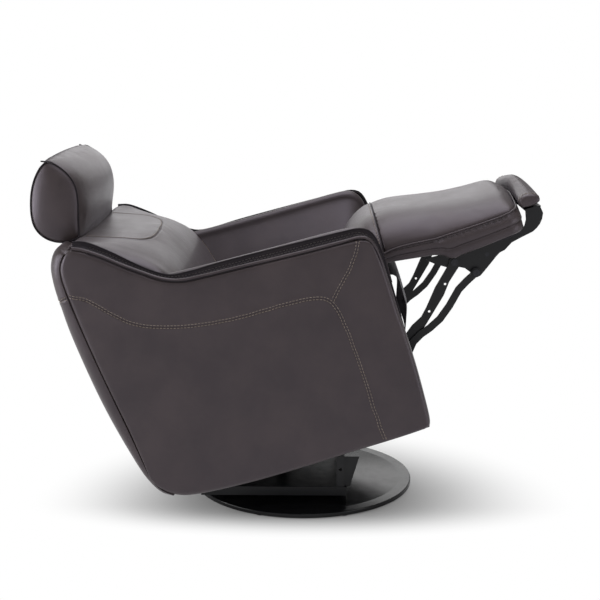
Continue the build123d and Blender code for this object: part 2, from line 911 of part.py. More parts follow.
# push-button panel let into the right arm's inner slope
panel_side = -1
panel_y = -190.0
panel_length = 76.0
panel_width = 24.0
panel_depth = 18.0
panel_clearance = 0.3
panel_profile = liner_profile(panel_y, panel_side)
slope_x = panel_profile[4][0] - panel_profile[5][0]
slope_z = panel_profile[4][1] - panel_profile[5][1]
slope_run = hypot(slope_x, slope_z)
panel_centre = chair.from_local_coords(
    Vector(panel_profile[5][0] + 0.62 * slope_x, panel_y, panel_profile[5][1] + 0.62 * slope_z)
)
panel_normal = chair.x_dir * (slope_z / slope_run) - chair.z_dir * (slope_x / slope_run)
panel_plane = Plane(origin=panel_centre, x_dir=chair.y_dir, z_dir=panel_normal)

arm_liners = {}
for side, name in SIDES:
    with BuildPart() as liner:
        for y in (liner_front, liner_rear):
            with BuildSketch(front_plane(y)):
                with BuildLine():
                    Polyline(*liner_profile(y, side), close=True)
                make_face()
        loft()
        with BuildSketch(side_plane(0)):
            with BuildLine():
                Polyline(
                    (side_front, arm_front_z - 30),
                    (side_front + arm_nose, arm_front_z + crown + 2),
                    (side_front, arm_front_z + crown + 2),
                    close=True,
                )
            make_face()
        extrude(amount=side_half_width * 1.2, both=True, mode=Mode.SUBTRACT)
        if side == panel_side:
            with BuildSketch(panel_plane.offset(panel_depth)):
                Rectangle(panel_length + 2 * panel_clearance, panel_width + 2 * panel_clearance)
            extrude(amount=-2 * panel_depth - panel_clearance, mode=Mode.SUBTRACT)
    arm_liners[name] = liner

# padded boards that face the front of the seat box on both sides of the footrest
facing_thickness = 11.0
facing_bottom = 132.0
facing_inside = seat_half_width + 20
facing_outside = inner_face(liner_front + facing_thickness, liner_inset)

arm_facings = {}
for side, name in SIDES:
    with BuildPart() as facing:
        with BuildSketch(front_plane(liner_front)):
            with BuildLine():
                Polyline(
                    (side * facing_inside, facing_bottom),
                    (side * facing_outside, facing_bottom),
                    (side * facing_outside, seat_bottom),
                    (side * facing_inside, seat_bottom),
                    close=True,
                )
            make_face()
        extrude(amount=-facing_thickness)
    arm_facings[name] = facing

button_names = ("button_recline", "button_raise")
button_pitch = 34.0
button_radius = 7.5
button_proud = 2.0
button_travel = 1.5
panel_face = 1.5       # the panel stands this far out of the arm
button_bottom = panel_face - 12.0

with BuildPart() as control_panel:
    with BuildSketch(panel_plane.offset(panel_face)):
        RectangleRounded(panel_length, panel_width, panel_width / 2 - 1)
    extrude(amount=-panel_depth)
    with BuildSketch(panel_plane.offset(panel_face)):
        with GridLocations(button_pitch, 0, len(button_names), 1):
            Circle(button_radius + pin_play)
    extrude(amount=button_bottom - button_travel - 0.5 - panel_face, mode=Mode.SUBTRACT)

buttons = {}
for i, name in enumerate(button_names):
    with BuildPart() as button:
        with BuildSketch(panel_plane.offset(button_bottom)):
            with Locations(((i - (len(button_names) - 1) / 2) * button_pitch, 0)):
                Circle(button_radius)
        extrude(amount=panel_face + button_proud - button_bottom)
        fillet(button.faces().sort_by(Axis(panel_centre, panel_normal))[-1].edges(), 0.8)
    buttons[name] = button

# wings beside the back cushion
back_half_width = 262.0
wing_liners = {}
for side, name in SIDES:
    with BuildPart() as wing:
        wing_outer = inner_face(wing_top_y + 38, liner_inset)
        with BuildSketch(side_plane(side * (back_half_width + soft_gap))):
            with BuildLine():
                Polyline(
                    (liner_rear + 1, seat_bottom),
                    (liner_rear + 1, arm_rear_z + 14),
                    (wing_top_y - 4, wing_top_z + 6),
                    (wing_top_y + 38, wing_top_z + 2),
                    (wing_top_y + 38, seat_bottom),
                    close=True,
                )
            make_face()
        extrude(amount=side * (wing_outer - back_half_width - soft_gap))
    wing_liners[name] = wing

# ---------------------------------------------------------------- back
back_lean = 23.0
back_foot_z = seat_top - 16
back_break_z = 758.0
back_break_y = back_foot_y + (back_break_z - back_foot_z) * tan(radians(back_lean))
back_top_y = 418.0
back_top_z = 824.0
post_foot_y = rear_rail_y - rail_thickness + 1
post_front_y = back_top_y + 12
back_rail_z = back_top_z - 62


def post_face_y(z):
    """Where the front faces of the back posts are at z."""
    rise = (z - seat_rail_top) / (back_rail_z - seat_rail_top)
    return post_foot_y + (post_front_y - post_foot_y) * rise


with BuildPart() as back_cushion:
    with BuildSketch(side_plane(0)):
        with BuildLine():
            Polyline(
                (back_foot_y + 2, back_foot_z),
                (back_break_y, back_break_z),
                (back_break_y + 30, back_break_z + 26),
                (back_break_y + 100, back_top_z - 16),
                (back_top_y, back_top_z),
                (post_face_y(back_rail_z) - soft_gap, back_rail_z),
                (post_face_y(back_foot_z) - soft_gap, back_foot_z),
                close=True,
            )
        make_face()
    extrude(amount=back_half_width, both=True)

shell_thickness = 14.0
outer_back_rear = 30.0   # how far the outer back stands behind the side panels' rear edge
outer_back_half = inner_face(side_rear_top_y, 4)
rear_outline = (
    (side_rear_bottom_y - 30, side_rear_bottom_z - 62),
    (side_rear_bottom_y + 22, side_rear_bottom_z - 4),
    (side_rear_mid_y + 8, 420),
    (side_rear_mid_y + outer_back_rear, side_rear_mid_z),
    (side_rear_mid_y + outer_back_rear - 4, 790),
    (side_rear_mid_y, wing_top_z + 10),
)
seam_outline = [(y + soft_gap, z) for y, z in reversed(side_outline[3:7])]
with BuildPart() as outer_back:
    with BuildSketch(side_plane(0)):
        with BuildLine():
            rear_line = Polyline(*rear_outline)
            offset(rear_line, amount=shell_thickness, side=Side.LEFT)
        make_face()
    extrude(amount=outer_back_half, both=True)
    # returns that meet the rear edges of the side panels
    for side, name in SIDES:
        with BuildSketch(side_plane(side * outer_back_half)):
            with BuildLine():
                Polyline(*rear_outline, *seam_outline, close=True)
            make_face()
        extrude(amount=-side * shell_thickness)


# timber behind the back cushion
post_x = 220.0
post_half = 15.0
frame_depth = 34.0
back_posts = {}
for side, name in SIDES:
    with BuildPart() as post:
        with BuildSketch(side_plane(side * post_x)):
            with BuildLine():
                Polyline(
                    (post_foot_y, seat_rail_top),
                    (rear_rail_y + rail_thickness - 1, seat_rail_top),
                    (post_front_y + frame_depth, back_rail_z),
                    (post_front_y, back_rail_z),
                    close=True,
                )
            make_face()
        extrude(amount=post_half, both=True)
    back_posts[name] = post

back_rail_height = 18.0
with BuildPart() as back_top_rail:
    with BuildSketch(side_plane(0)):
        with Locations((post_front_y + frame_depth / 2, back_rail_z + back_rail_height / 2)):
            Rectangle(frame_depth, back_rail_height)
    extrude(amount=inner_face(post_front_y + frame_depth, liner_inset), both=True)

# ---------------------------------------------------------------- headrest on its hinge
head_hinge = (back_top_y + 24, back_top_z - 2)
head_pin_radius = 7.0
head_eye_radius = 12.0
head_mount_x = 132.0
head_bracket_x = 118.0
head_strap = 6.0
head_bottom = 840.0
head_half_width = 268.0
mount_foot = back_rail_z + back_rail_height

with BuildPart() as headrest_hinge_mounts:
    for side, name in SIDES:
        with BuildSketch(side_plane(side * head_mount_x)):
            with Locations(head_hinge):
                Circle(head_eye_radius)
            with Locations((head_hinge[0], mount_foot)):
                Rectangle(2 * head_eye_radius, 4, align=(Align.CENTER, Align.MIN))
            make_hull()
            with Locations(head_hinge):
                Circle(head_pin_radius, mode=Mode.SUBTRACT)
        extrude(amount=head_strap / 2, both=True)

with BuildPart() as headrest_pin:
    with BuildSketch(side_plane(0)):
        with Locations(head_hinge):
            Circle(head_pin_radius)
    extrude(amount=head_mount_x + head_strap, both=True)

headrest_brackets = {}
for side, name in SIDES:
    with BuildPart() as bracket:
        with BuildSketch(side_plane(side * head_bracket_x)):
            with Locations(head_hinge):
                Circle(head_eye_radius)
            with Locations((head_hinge[0], head_bottom)):
                Rectangle(2 * head_eye_radius, 4, align=(Align.CENTER, Align.MAX))
            make_hull()
            with Locations(head_hinge):
                Circle(head_pin_radius + pin_play, mode=Mode.SUBTRACT)
        extrude(amount=head_strap / 2, both=True)
    headrest_brackets[name] = bracket

with BuildPart() as headrest_cushion:
    with BuildSketch(side_plane(0)):
        with BuildLine():
            Polyline(
                (head_hinge[0] - 30, head_bottom),
                (head_hinge[0] + 13, head_bottom),
                (head_hinge[0] + 63, head_bottom + 24),
                (head_hinge[0] + 86, head_bottom + 62),
                (head_hinge[0] + 76, head_bottom + 122),
                (head_hinge[0] + 54, head_bottom + 176),
                (head_hinge[0] + 12, head_bottom + 222),
                (head_hinge[0] - 22, head_bottom + 214),
                (head_hinge[0] - 52, head_bottom + 176),
                (head_hinge[0] - 62, head_bottom + 130),
                (head_hinge[0] - 50, head_bottom + 60),
                close=True,
            )
        make_face()
    extrude(amount=head_half_width, both=True)

# ---------------------------------------------------------------- tilt actuator
foot_y = 60.0
foot_z = 85.0
foot_ear_gap = 27.6
foot_ear = 6.0
foot_pin_radius = 6.0
foot_eye_radius = 13.0
base_top = plate_level + plate_thickness

with BuildPart() as actuator_foot:
    for side, name in SIDES:
        with BuildSketch(world_side_plane(side * (foot_ear_gap + foot_ear) / 2)):
            with Locations((foot_y, foot_z)):
                Circle(foot_eye_radius)
            with Locations((foot_y, base_top)):
                Rectangle(46, 4, align=(Align.CENTER, Align.MIN))
            make_hull()
        extrude(amount=foot_ear / 2, both=True)
    with BuildSketch(world_side_plane(0)):
        with Locations((foot_y, foot_z)):
            Circle(foot_pin_radius)
    extrude(amount=foot_ear_gap / 2 + foot_ear + 3, both=True)

front_tube_world = chair.from_local_coords(Vector(0, front_tube_y, front_tube_z))
reach_y = front_tube_world.Y - foot_y
reach_z = front_tube_world.Z - foot_z
actuator_length = hypot(reach_y, reach_z)
actuator_dir = Vector(0, reach_y / actuator_length, reach_z / actuator_length)


def actuator_plane(distance):
    """Plane square to the actuator at a distance from its lower pin."""
    origin = Vector(0, foot_y, foot_z) + actuator_dir * distance
    return Plane(origin=origin, x_dir=(1, 0, 0), z_dir=actuator_dir)


tilt_tube_radius = 18.0
tilt_rod_radius = 9.0
tilt_tube_start = foot_eye_radius - 2
tilt_tube_end = 300.0
tilt_stroke = 50.0
motor_radius = 22.0
motor_offset = 44.0
open_pivot_play = 5.0

with BuildPart() as tilt_motor:
    with BuildSketch(world_side_plane(0)):
        with Locations((foot_y, foot_z)):
            Circle(foot_eye_radius)
    extrude(amount=foot_ear_gap / 2 - 0.3, both=True)
    with BuildSketch(actuator_plane(tilt_tube_start)):
        Circle(foot_eye_radius)
    extrude(amount=24)
    with BuildSketch(actuator_plane(tilt_tube_start + 22)):
        Circle(tilt_tube_radius)
    extrude(amount=tilt_tube_end - tilt_tube_start - 22)
    with BuildSketch(actuator_plane(tilt_tube_start + 30)):
        with Locations((motor_offset / 2, 0)):
            Rectangle(motor_offset + 2 * motor_radius, 2 * motor_radius)
    extrude(amount=34)
    with BuildSketch(actuator_plane(tilt_tube_start + 60)):
        with Locations((motor_offset, 0)):
            Circle(motor_radius)
    extrude(amount=110)
    with BuildSketch(world_side_plane(0)):
        with Locations((foot_y, foot_z)):
            Circle(foot_pin_radius + pin_play)
    extrude(amount=foot_ear_gap, both=True, mode=Mode.SUBTRACT)
    with BuildSketch(actuator_plane(tilt_tube_end)):
        Circle(tilt_rod_radius + pin_play)
    extrude(amount=-(tilt_tube_end - 90), mode=Mode.SUBTRACT)

eye_inner = torque_tube_radius + open_pivot_play
eye_outer = eye_inner + 6
with BuildPart() as tilt_rod:
    with BuildSketch(actuator_plane(90 + tilt_stroke + 20)):
        Circle(tilt_rod_radius)
    extrude(amount=actuator_length - eye_inner - 3 - (90 + tilt_stroke + 20))
    with BuildSketch(side_plane(0)):
        with Locations((front_tube_y, front_tube_z)):
            Circle(eye_outer)
            Circle(eye_inner, mode=Mode.SUBTRACT)
    extrude(amount=tilt_rod_radius + 2, both=True)

# ---------------------------------------------------------------- low-voltage inlet
inlet_x = 80.0
inlet_radius = 4.0
inlet_depth = 10.0
with BuildPart() as power_inlet:
    inlet_origin = (inlet_x, plate_rear + cross_depth, cross_level)
    inlet_face = Plane(origin=inlet_origin, x_dir=(-1, 0, 0), z_dir=(0, 1, 0))
    with BuildSketch(inlet_face):
        RectangleRounded(30, 20, 3)
    extrude(amount=14)
    with BuildSketch(inlet_face.offset(14)):
        Circle(inlet_radius)
    extrude(amount=-inlet_depth, mode=Mode.SUBTRACT)

# ---------------------------------------------------------------- welts along the arms
welt_radius = 4.0
welt_gap = 0.3


def outward_path(points, distance):
    """The points of an open outline moved square to it by the distance, to its outer side."""
    moved = []
    for i, (y, z) in enumerate(points):
        y0, z0 = points[max(i - 1, 0)]
        y1, z1 = points[min(i + 1, len(points) - 1)]
        before = Vector(y - y0, z - z0) if i else Vector(y1 - y, z1 - z)
        after = Vector(y1 - y, z1 - z) if i < len(points) - 1 else before
        bisector = (before.normalized() + after.normalized()).normalized()
        outward = Vector(bisector.Y, -bisector.X)
        stretch = distance / Vector(before.Y, -before.X).normalized().dot(outward)
        moved.append((y + outward.X * stretch, z + outward.Y * stretch))
    return moved


arm_line = side_outline[7:12]
inner_step = 17.0      # inner welt above the outer one
outer_welt_path = outward_path(arm_line, welt_radius + welt_gap)
inner_welt_path = outward_path(arm_line[:3], inner_step)

arm_welts = {}
for side, name in SIDES:
    with BuildPart() as welts:
        for inset, path in (
            (welt_radius, outer_welt_path),
            (skin + board - welt_radius, inner_welt_path),
        ):
            plane = toed_plane(side, inset)
            with BuildLine(plane) as line:
                Polyline(*path)
            start = line.wire() @ 0
            tangent = line.wire() % 0
            with BuildSketch(Plane(origin=start, z_dir=tangent)):
                Circle(welt_radius)
            sweep(path=line.wire(), transition=Transition.ROUND)
    arm_welts[name] = welts

# ---------------------------------------------------------------- write every piece
pieces = {
    "base_disc": base_disc,
    "base_glides": base_glides,
    "lower_bearing_race": lower_race,
    "bearing_balls": bearing_balls,
    "upper_bearing_race": upper_race,
    "swivel_bolt": swivel_bolt,
    "swivel_plate": swivel_plate,
    "stop_buffers": stop_buffers,
    "tilt_pins": tilt_pins,
    "actuator_foot": actuator_foot,
    "power_inlet": power_inlet,
    "tilt_motor": tilt_motor,
    "tilt_rod": tilt_rod,
    "torque_tube": torque_tube,
    "crank_arm": crank_arm,
    "carrier_rivets": carrier_rivets,
    "footrest_motor": footrest_motor,
    "footrest_rod": footrest_rod,
    "footrest_board": footrest_board,
    "footrest_cushion": footrest_cushion,
    "footrest_rivets": footrest_rivets,
    "flipper_bracket": flipper_bracket,
    "foot_pad": foot_pad,
    "seat_webbing": seat_webbing,
    "seat_cushion": seat_cushion,
    "seat_bridge": seat_bridge,
    "front_flap": front_flap,
    "back_cushion": back_cushion,
    "outer_back": outer_back,
    "back_top_rail": back_top_rail,
    "headrest_hinge_mounts": headrest_hinge_mounts,
    "headrest_pin": headrest_pin,
    "headrest_cushion": headrest_cushion,
    "control_panel": control_panel,
}
pieces.update(buttons)
for base_name, pair in (
    ("seat_plate", seat_plates),
    ("long_link", long_links),
    ("short_link", short_links),
    ("side_panel", side_panels),
    ("arm_liner", arm_liners),
):
    for side_name, builder in pair.items():
        pieces[f"{base_name}_{side_name}"] = builder

# mirrored pairs that need no name of their own for each side
for group_name, pair in (
    ("frame_rails", frame_rails),
    ("front_posts", front_posts),
    ("tilt_brackets", tilt_brackets),
    ("carrier_links", carrier_links),
    ("footrest_brackets", footrest_brackets),
    ("side_boards", side_boards),
    ("wing_liners", wing_liners),
    ("arm_facings", arm_facings),
    ("arm_welts", arm_welts),
    ("back_posts", back_posts),
    ("headrest_brackets", headrest_brackets),
):
    pieces[group_name] = group([builder.part for builder in pair.values()])
pieces["frame_cross_tubes"] = group([front_cross_tube.part, rear_cross_tube.part])
pieces["seat_cross_tubes"] = group([seat_front_tube.part, seat_rear_tube.part])
all_seat_rails = (seat_rail_front, seat_rail_rear, *seat_rails.values())
pieces["seat_timber"] = group([rail.part for rail in all_seat_rails])

for piece_name, builder in pieces.items():
    builder.part.label = piece_name
    export_step(builder.part, f"parts/{piece_name}.step")
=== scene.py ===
import bpy
import json
from math import cos, exp, pi, radians, sin, sqrt, tan
from mathutils import Matrix, Vector
from mathutils.bvhtree import BVHTree
from mathutils.kdtree import KDTree


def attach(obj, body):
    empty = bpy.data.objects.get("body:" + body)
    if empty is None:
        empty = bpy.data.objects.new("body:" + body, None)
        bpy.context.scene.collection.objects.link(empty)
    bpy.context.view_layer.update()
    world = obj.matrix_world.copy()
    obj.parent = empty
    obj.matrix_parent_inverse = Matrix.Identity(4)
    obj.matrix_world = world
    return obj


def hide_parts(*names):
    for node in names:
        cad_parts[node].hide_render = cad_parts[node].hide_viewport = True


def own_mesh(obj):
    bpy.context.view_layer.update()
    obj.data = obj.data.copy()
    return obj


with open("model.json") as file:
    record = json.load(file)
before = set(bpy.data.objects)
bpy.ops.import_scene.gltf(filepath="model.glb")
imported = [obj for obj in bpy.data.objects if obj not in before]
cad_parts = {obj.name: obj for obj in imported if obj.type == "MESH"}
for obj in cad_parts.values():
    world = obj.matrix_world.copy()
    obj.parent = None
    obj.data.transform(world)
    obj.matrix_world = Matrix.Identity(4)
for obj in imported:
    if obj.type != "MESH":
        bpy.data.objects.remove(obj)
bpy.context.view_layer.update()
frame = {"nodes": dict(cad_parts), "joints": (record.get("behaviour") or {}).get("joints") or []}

# ------------------------ base disc
# A spun steel disc, stove-enamelled in satin black. It is smooth enough to mirror what stands
# round it softly. Eight rubber glides hold it just clear of the floor.


def add_node(material, kind, links=None, **settings):
    """A shader node with its settings. An input takes a value, a socket, or a node, whose first
    output it is then linked to."""
    node = material.node_tree.nodes.new(kind)
    for key, value in settings.items():
        setattr(node, key, value)
    for socket, source in (links or {}).items():
        if isinstance(source, bpy.types.Node):
            source = source.outputs[0]
        if isinstance(source, bpy.types.NodeSocket):
            material.node_tree.links.new(source, node.inputs[socket])
        else:
            node.inputs[socket].default_value = source
    return node


def linear(hex_colour):
    """An sRGB hex colour as the linear values a shader takes."""
    channels = [int(hex_colour[i:i + 2], 16) / 255 for i in (1, 3, 5)]
    return (*[c / 12.92 if c <= 0.04045 else ((c + 0.055) / 1.055) ** 2.4 for c in channels], 1)


def new_material(name):
    """An empty node material and its object coordinates."""
    material = bpy.data.materials.new(name)
    material.use_nodes = True
    material.node_tree.nodes.clear()
    return material, add_node(material, "ShaderNodeTexCoord").outputs["Object"]


def two_tones(material, pattern, low, high, start=0.35, stop=0.65):
    """A pattern's value as a blend from one colour to another."""
    ramp = add_node(material, "ShaderNodeValToRGB", {"Fac": pattern})
    ramp.color_ramp.elements[0].position = start
    ramp.color_ramp.elements[0].color = linear(low)
    ramp.color_ramp.elements[1].position = stop
    ramp.color_ramp.elements[1].color = linear(high)
    return ramp


def plain_finish(name, low, high, roughness, grain, relief, metallic=0.0, patch=0.05, ior=1.5):
    """A moulded, painted or plated finish: its tone and shine vary in patches, over fine grain."""
    material, place = new_material(name)
    patches = add_node(material, "ShaderNodeTexNoise", {
        "Vector": place, "Scale": 1 / patch, "Detail": 4.0, "Roughness": 0.6})
    fine = add_node(material, "ShaderNodeTexNoise", {
        "Vector": place, "Scale": 1 / grain, "Detail": 2.0})
    shine = add_node(material, "ShaderNodeMapRange", {
        "Value": patches, "From Min": 0.3, "From Max": 0.7,
        "To Min": roughness * 0.85, "To Max": roughness * 1.2})
    relief_map = add_node(material, "ShaderNodeBump", {
        "Height": fine, "Strength": 0.5, "Distance": relief})
    shader = add_node(material, "ShaderNodeBsdfPrincipled", {
        "Base Color": two_tones(material, patches, low, high), "Roughness": shine,
        "Normal": relief_map, "Metallic": metallic, "IOR": ior})
    add_node(material, "ShaderNodeOutputMaterial", {"Surface": shader})
    return material


def finish(material, *nodes):
    """Gives the CAD nodes their material."""
    for node in nodes:
        for material_slot in frame["nodes"][node].material_slots:
            material_slot.material = material


satin_enamel = plain_finish("satin_black_enamel", "#0b0b0d", "#121214", 0.2, 0.004, 0.00005,
                            ior=1.37)
rubber = plain_finish("black_rubber", "#161617", "#1f1f20", 0.75, 0.0008, 0.0001)
finish(satin_enamel, "base_disc")
finish(rubber, "base_glides", "stop_buffers")

# ------------------------ swivel
# Two pressed races with hardened balls between them turn round a zinc-plated centre bolt.
# A thin film of grease darkens the races.

ground_steel = plain_finish("ground_bearing_steel", "#8f9194", "#a9abad", 0.28, 0.0006, 0.00002,
                            1.0)
zinc = plain_finish("zinc_plate", "#9a9c9f", "#b9bbbd", 0.36, 0.002, 0.00004, 1.0, 0.012)
finish(ground_steel, "lower_bearing_race", "upper_bearing_race", "bearing_balls")
finish(zinc, "swivel_bolt")

# ------------------------ steelwork
# Flat bars, plates and welded tubes, phosphated and powder-coated black. The coat has the
# faint orange peel of powder, and is a little lighter and rougher in random patches.

powder, powder_place = new_material("black_powder_coat")
peel_size = 0.0022
rub_size = 0.03
peel = add_node(powder, "ShaderNodeTexNoise", {
    "Vector": powder_place, "Scale": 1 / peel_size, "Detail": 1.5})
rub = add_node(powder, "ShaderNodeTexNoise", {
    "Vector": powder_place, "Scale": 1 / rub_size, "Detail": 6.0, "Roughness": 0.7})
dust = add_node(powder, "ShaderNodeMapRange", {
    "Value": rub, "From Min": 0.35, "From Max": 0.7, "To Min": 0.34, "To Max": 0.5})
peel_bump = add_node(powder, "ShaderNodeBump", {
    "Height": peel, "Strength": 0.45, "Distance": 0.00018})
coat = add_node(powder, "ShaderNodeBsdfPrincipled", {
    "Base Color": two_tones(powder, rub, "#050508", "#0b0b10", 0.3, 0.75), "IOR": 1.38,
    "Roughness": dust, "Normal": peel_bump})
add_node(powder, "ShaderNodeOutputMaterial", {"Surface": coat})
blackened = plain_finish("blackened_zinc", "#1c1c20", "#2a2a2f", 0.34, 0.001, 0.00004, 0.6, 0.006)

finish(powder, "swivel_plate", "frame_rails", "frame_cross_tubes", "front_posts", "tilt_brackets",
       "actuator_foot", "seat_plate_left", "seat_plate_right", "seat_cross_tubes",
       "carrier_links", "torque_tube", "crank_arm", "long_link_left", "long_link_right",
       "short_link_left", "short_link_right", "footrest_brackets", "flipper_bracket",
       "headrest_brackets", "headrest_hinge_mounts")
finish(blackened, "carrier_rivets", "footrest_rivets")
finish(zinc, "tilt_pins", "headrest_pin", "tilt_rod", "footrest_rod")

# ------------------------ actuators and button panel
# Housings of black ABS with a fine spark-eroded texture. The two buttons are a little glossier
# and greyer, and the power socket under the rear rail is of the same plastic.

abs_black = plain_finish("spark_eroded_abs", "#151517", "#1c1c1f", 0.5, 0.0007, 0.00012)
board_stain = plain_finish("black_stained_board", "#101011", "#191918", 0.7, 0.0015, 0.0002)
button_grey = plain_finish("button_plastic", "#3a3a3d", "#444447", 0.33, 0.001, 0.00004)
finish(abs_black, "tilt_motor", "footrest_motor", "power_inlet", "control_panel")
finish(button_grey, "button_recline", "button_raise")
finish(board_stain, "side_boards")

# ------------------------ timber and webbing
# The back and the footrest board are of birch plywood, seen in the ply lines of their edges,
# and the seat frame and side boards of the same, stained black. Elastic webbing, woven from
# black and grey yarn, carries the seat.

birch, birch_place = new_material("birch_plywood")
ply_thickness = 0.0014
figure_length = 0.16
figure_width = 0.012
wave_bands = 20          # bands that a wave pattern draws in each unit of its scale
along_grain = add_node(birch, "ShaderNodeMapping", {
    "Vector": birch_place, "Scale": (1 / figure_length, 1 / figure_width, 1 / figure_width)})
figure = add_node(birch, "ShaderNodeTexNoise", {
    "Vector": along_grain, "Scale": 1.0, "Detail": 5.0, "Roughness": 0.62, "Distortion": 0.4})
plies = add_node(birch, "ShaderNodeTexWave", {
    "Vector": birch_place, "Scale": 1 / (ply_thickness * wave_bands), "Distortion": 0.6,
    "Detail": 1.0}, bands_direction="Z")
wood_tone = add_node(birch, "ShaderNodeMixRGB", {
    "Fac": 0.35, "Color1": two_tones(birch, figure, "#a98a5f", "#cdb187"),
    "Color2": two_tones(birch, plies.outputs["Fac"], "#8d6f49", "#d2b98f")}, blend_type="MULTIPLY")
wood_bump = add_node(birch, "ShaderNodeBump", {
    "Height": figure, "Strength": 0.3, "Distance": 0.0003})
wood = add_node(birch, "ShaderNodeBsdfPrincipled", {
    "Base Color": wood_tone, "Roughness": 0.62, "Normal": wood_bump})
add_node(birch, "ShaderNodeOutputMaterial", {"Surface": wood})

webbing, webbing_place = new_material("elastic_webbing")
yarn_pitch = 0.003
warp, weft = (add_node(webbing, "ShaderNodeTexWave", {
    "Vector": webbing_place, "Scale": 1 / (yarn_pitch * wave_bands), "Distortion": 0.5},
    bands_direction=direction).outputs["Fac"] for direction in "XY")
crossing = add_node(webbing, "ShaderNodeMath", {0: warp, 1: weft}, operation="MULTIPLY")
web_bump = add_node(webbing, "ShaderNodeBump", {
    "Height": crossing, "Strength": 0.7, "Distance": 0.0006})
web = add_node(webbing, "ShaderNodeBsdfPrincipled", {
    "Base Color": two_tones(webbing, crossing, "#1d1d20", "#4a4a4e", 0.1, 0.8),
    "Roughness": 0.85, "Normal": web_bump})
add_node(webbing, "ShaderNodeOutputMaterial", {"Surface": web})

finish(birch, "back_posts", "back_top_rail", "footrest_board")
finish(board_stain, "seat_timber")
finish(webbing, "seat_webbing")

# ------------------------ side panels
# Dark grey cowhide over thin wadding, stapled round the edges of a board. Each side closes up
# towards the rear, and two curved double seams join the upper, lower and front parts.

grain_size = 0.0016      # cells of the pressed grain, drawn twice as coarse as life
cloud_size = 0.11        # patches where the dye took a little more
ripple_size = 0.045      # slack in the hide over its wadding


def leather(name, dye_dark, dye, shine, index=1.5):
    """Pressed-grain hide: cloudy dye, fine pebbles that break the highlight, soft ripples."""
    material, place = new_material(name)
    clouds = add_node(material, "ShaderNodeTexNoise", {
        "Vector": place, "Scale": 1 / cloud_size, "Detail": 6.0, "Roughness": 0.62})
    cells = add_node(material, "ShaderNodeTexVoronoi", {
        "Vector": place, "Scale": 1 / grain_size}, feature="DISTANCE_TO_EDGE")
    pebbles = add_node(material, "ShaderNodeMapRange", {
        "Value": cells, "From Min": 0.0, "From Max": 0.35})
    ripples = add_node(material, "ShaderNodeTexNoise", {
        "Vector": place, "Scale": 1 / ripple_size, "Detail": 3.0, "Roughness": 0.45})
    gloss = add_node(material, "ShaderNodeMapRange", {
        "Value": clouds, "From Min": 0.3, "From Max": 0.7,
        "To Min": shine - 0.04, "To Max": shine + 0.06})
    soft = add_node(material, "ShaderNodeBump", {
        "Height": ripples, "Strength": 0.3, "Distance": 0.0016})
    fine = add_node(material, "ShaderNodeBump", {
        "Height": pebbles, "Normal": soft, "Strength": 0.25, "Distance": 0.00028})
    skin = add_node(material, "ShaderNodeBsdfPrincipled", {
        "Base Color": two_tones(material, clouds, dye_dark, dye),
        "Roughness": gloss, "Normal": fine, "IOR": index, "Specular Tint": linear("#ebe2f6"),
        "Sheen Weight": 0.08, "Sheen Roughness": 0.4, "Sheen Tint": linear("#d9d2e2")})
    add_node(material, "ShaderNodeOutputMaterial", {"Surface": skin})
    return material


cowhide = leather("dark_grey_cowhide", "#282220", "#312a28", 0.40)

twist_pitch = 0.0012


def sewing_thread(name, low, high):
    """Twisted polyester: its strands catch the light along each stitch."""
    material, place = new_material(name)
    twist = add_node(material, "ShaderNodeTexNoise", {
        "Vector": place, "Scale": 1 / twist_pitch, "Detail": 1.0})
    twist_bump = add_node(material, "ShaderNodeBump", {
        "Height": twist, "Strength": 0.4, "Distance": 0.0002})
    strand = add_node(material, "ShaderNodeBsdfPrincipled", {
        "Base Color": two_tones(material, twist, low, high), "Roughness": 0.55,
        "Normal": twist_bump})
    add_node(material, "ShaderNodeOutputMaterial", {"Surface": strand})
    return material


thread = sewing_thread("grey_polyester_thread", "#6e6257", "#94877b")
# painted shade: a darker thread for stitches that lie in shade, in the welt's groove and under the
# footrest's flange
painted_shade_thread = sewing_thread("thread_in_painted_shade", "#2c2725", "#3f3936")

# all that the seat carries is drawn as it stands upright, and then leaned back to its rest
joints = {joint["name"]: joint for joint in frame["joints"]}
lean = radians(joints["recline"]["range_deg"][1])
seat_frame = Matrix.Translation((0, -0.020, 0.0925)) @ Matrix.Rotation(-lean, 4, "X")


def only(piece):
    """Makes a piece the one that the operators act on."""
    bpy.ops.object.select_all(action="DESELECT")
    piece.select_set(True)
    bpy.context.view_layer.objects.active = piece


def lean_back(piece):
    """Takes a piece drawn in the upright seat to where it is at rest."""
    only(piece)
    piece.matrix_world = seat_frame
    bpy.ops.object.transform_apply(location=True, rotation=True, scale=True)


def apply_modifiers(piece):
    only(piece)
    for modifier in list(piece.modifiers):
        bpy.ops.object.modifier_apply(modifier=modifier.name)


def spline(points, count):
    """Evenly spaced points on a smooth curve through the given ones."""
    pts = [Vector(p) for p in points]
    ends = [2 * pts[0] - pts[1]] + pts + [2 * pts[-1] - pts[-2]]
    dense = []
    for p0, p1, p2, p3 in zip(ends, ends[1:], ends[2:], ends[3:]):
        for step in range(16):
            t = step / 16
            dense.append(0.5 * (2 * p1 + (p2 - p0) * t + (2 * p0 - 5 * p1 + 4 * p2 - p3) * t ** 2
                                + (3 * p1 - p0 - 3 * p2 + p3) * t ** 3))
    dense.append(pts[-1])
    lengths = [0.0]
    for a, b in zip(dense, dense[1:]):
        lengths.append(lengths[-1] + (b - a).length)
    out = []
    k = 0
    for i in range(count):
        target = lengths[-1] * i / (count - 1)
        while k < len(lengths) - 2 and lengths[k + 1] < target:
            k += 1
        span = lengths[k + 1] - lengths[k]
        out.append(dense[k].lerp(dense[k + 1], (target - lengths[k]) / span if span else 0))
    return out


def profile(points, count):
    """Evenly spaced points on a side profile, drawn rearward and upward in the middle plane."""
    return spline([Vector((0, y, z)) for y, z in points], count)


def headings(points):
    """The way a line runs at each of its points."""
    return [b - a for a, b in zip([points[0], *points], [*points[1:], points[-1]])]


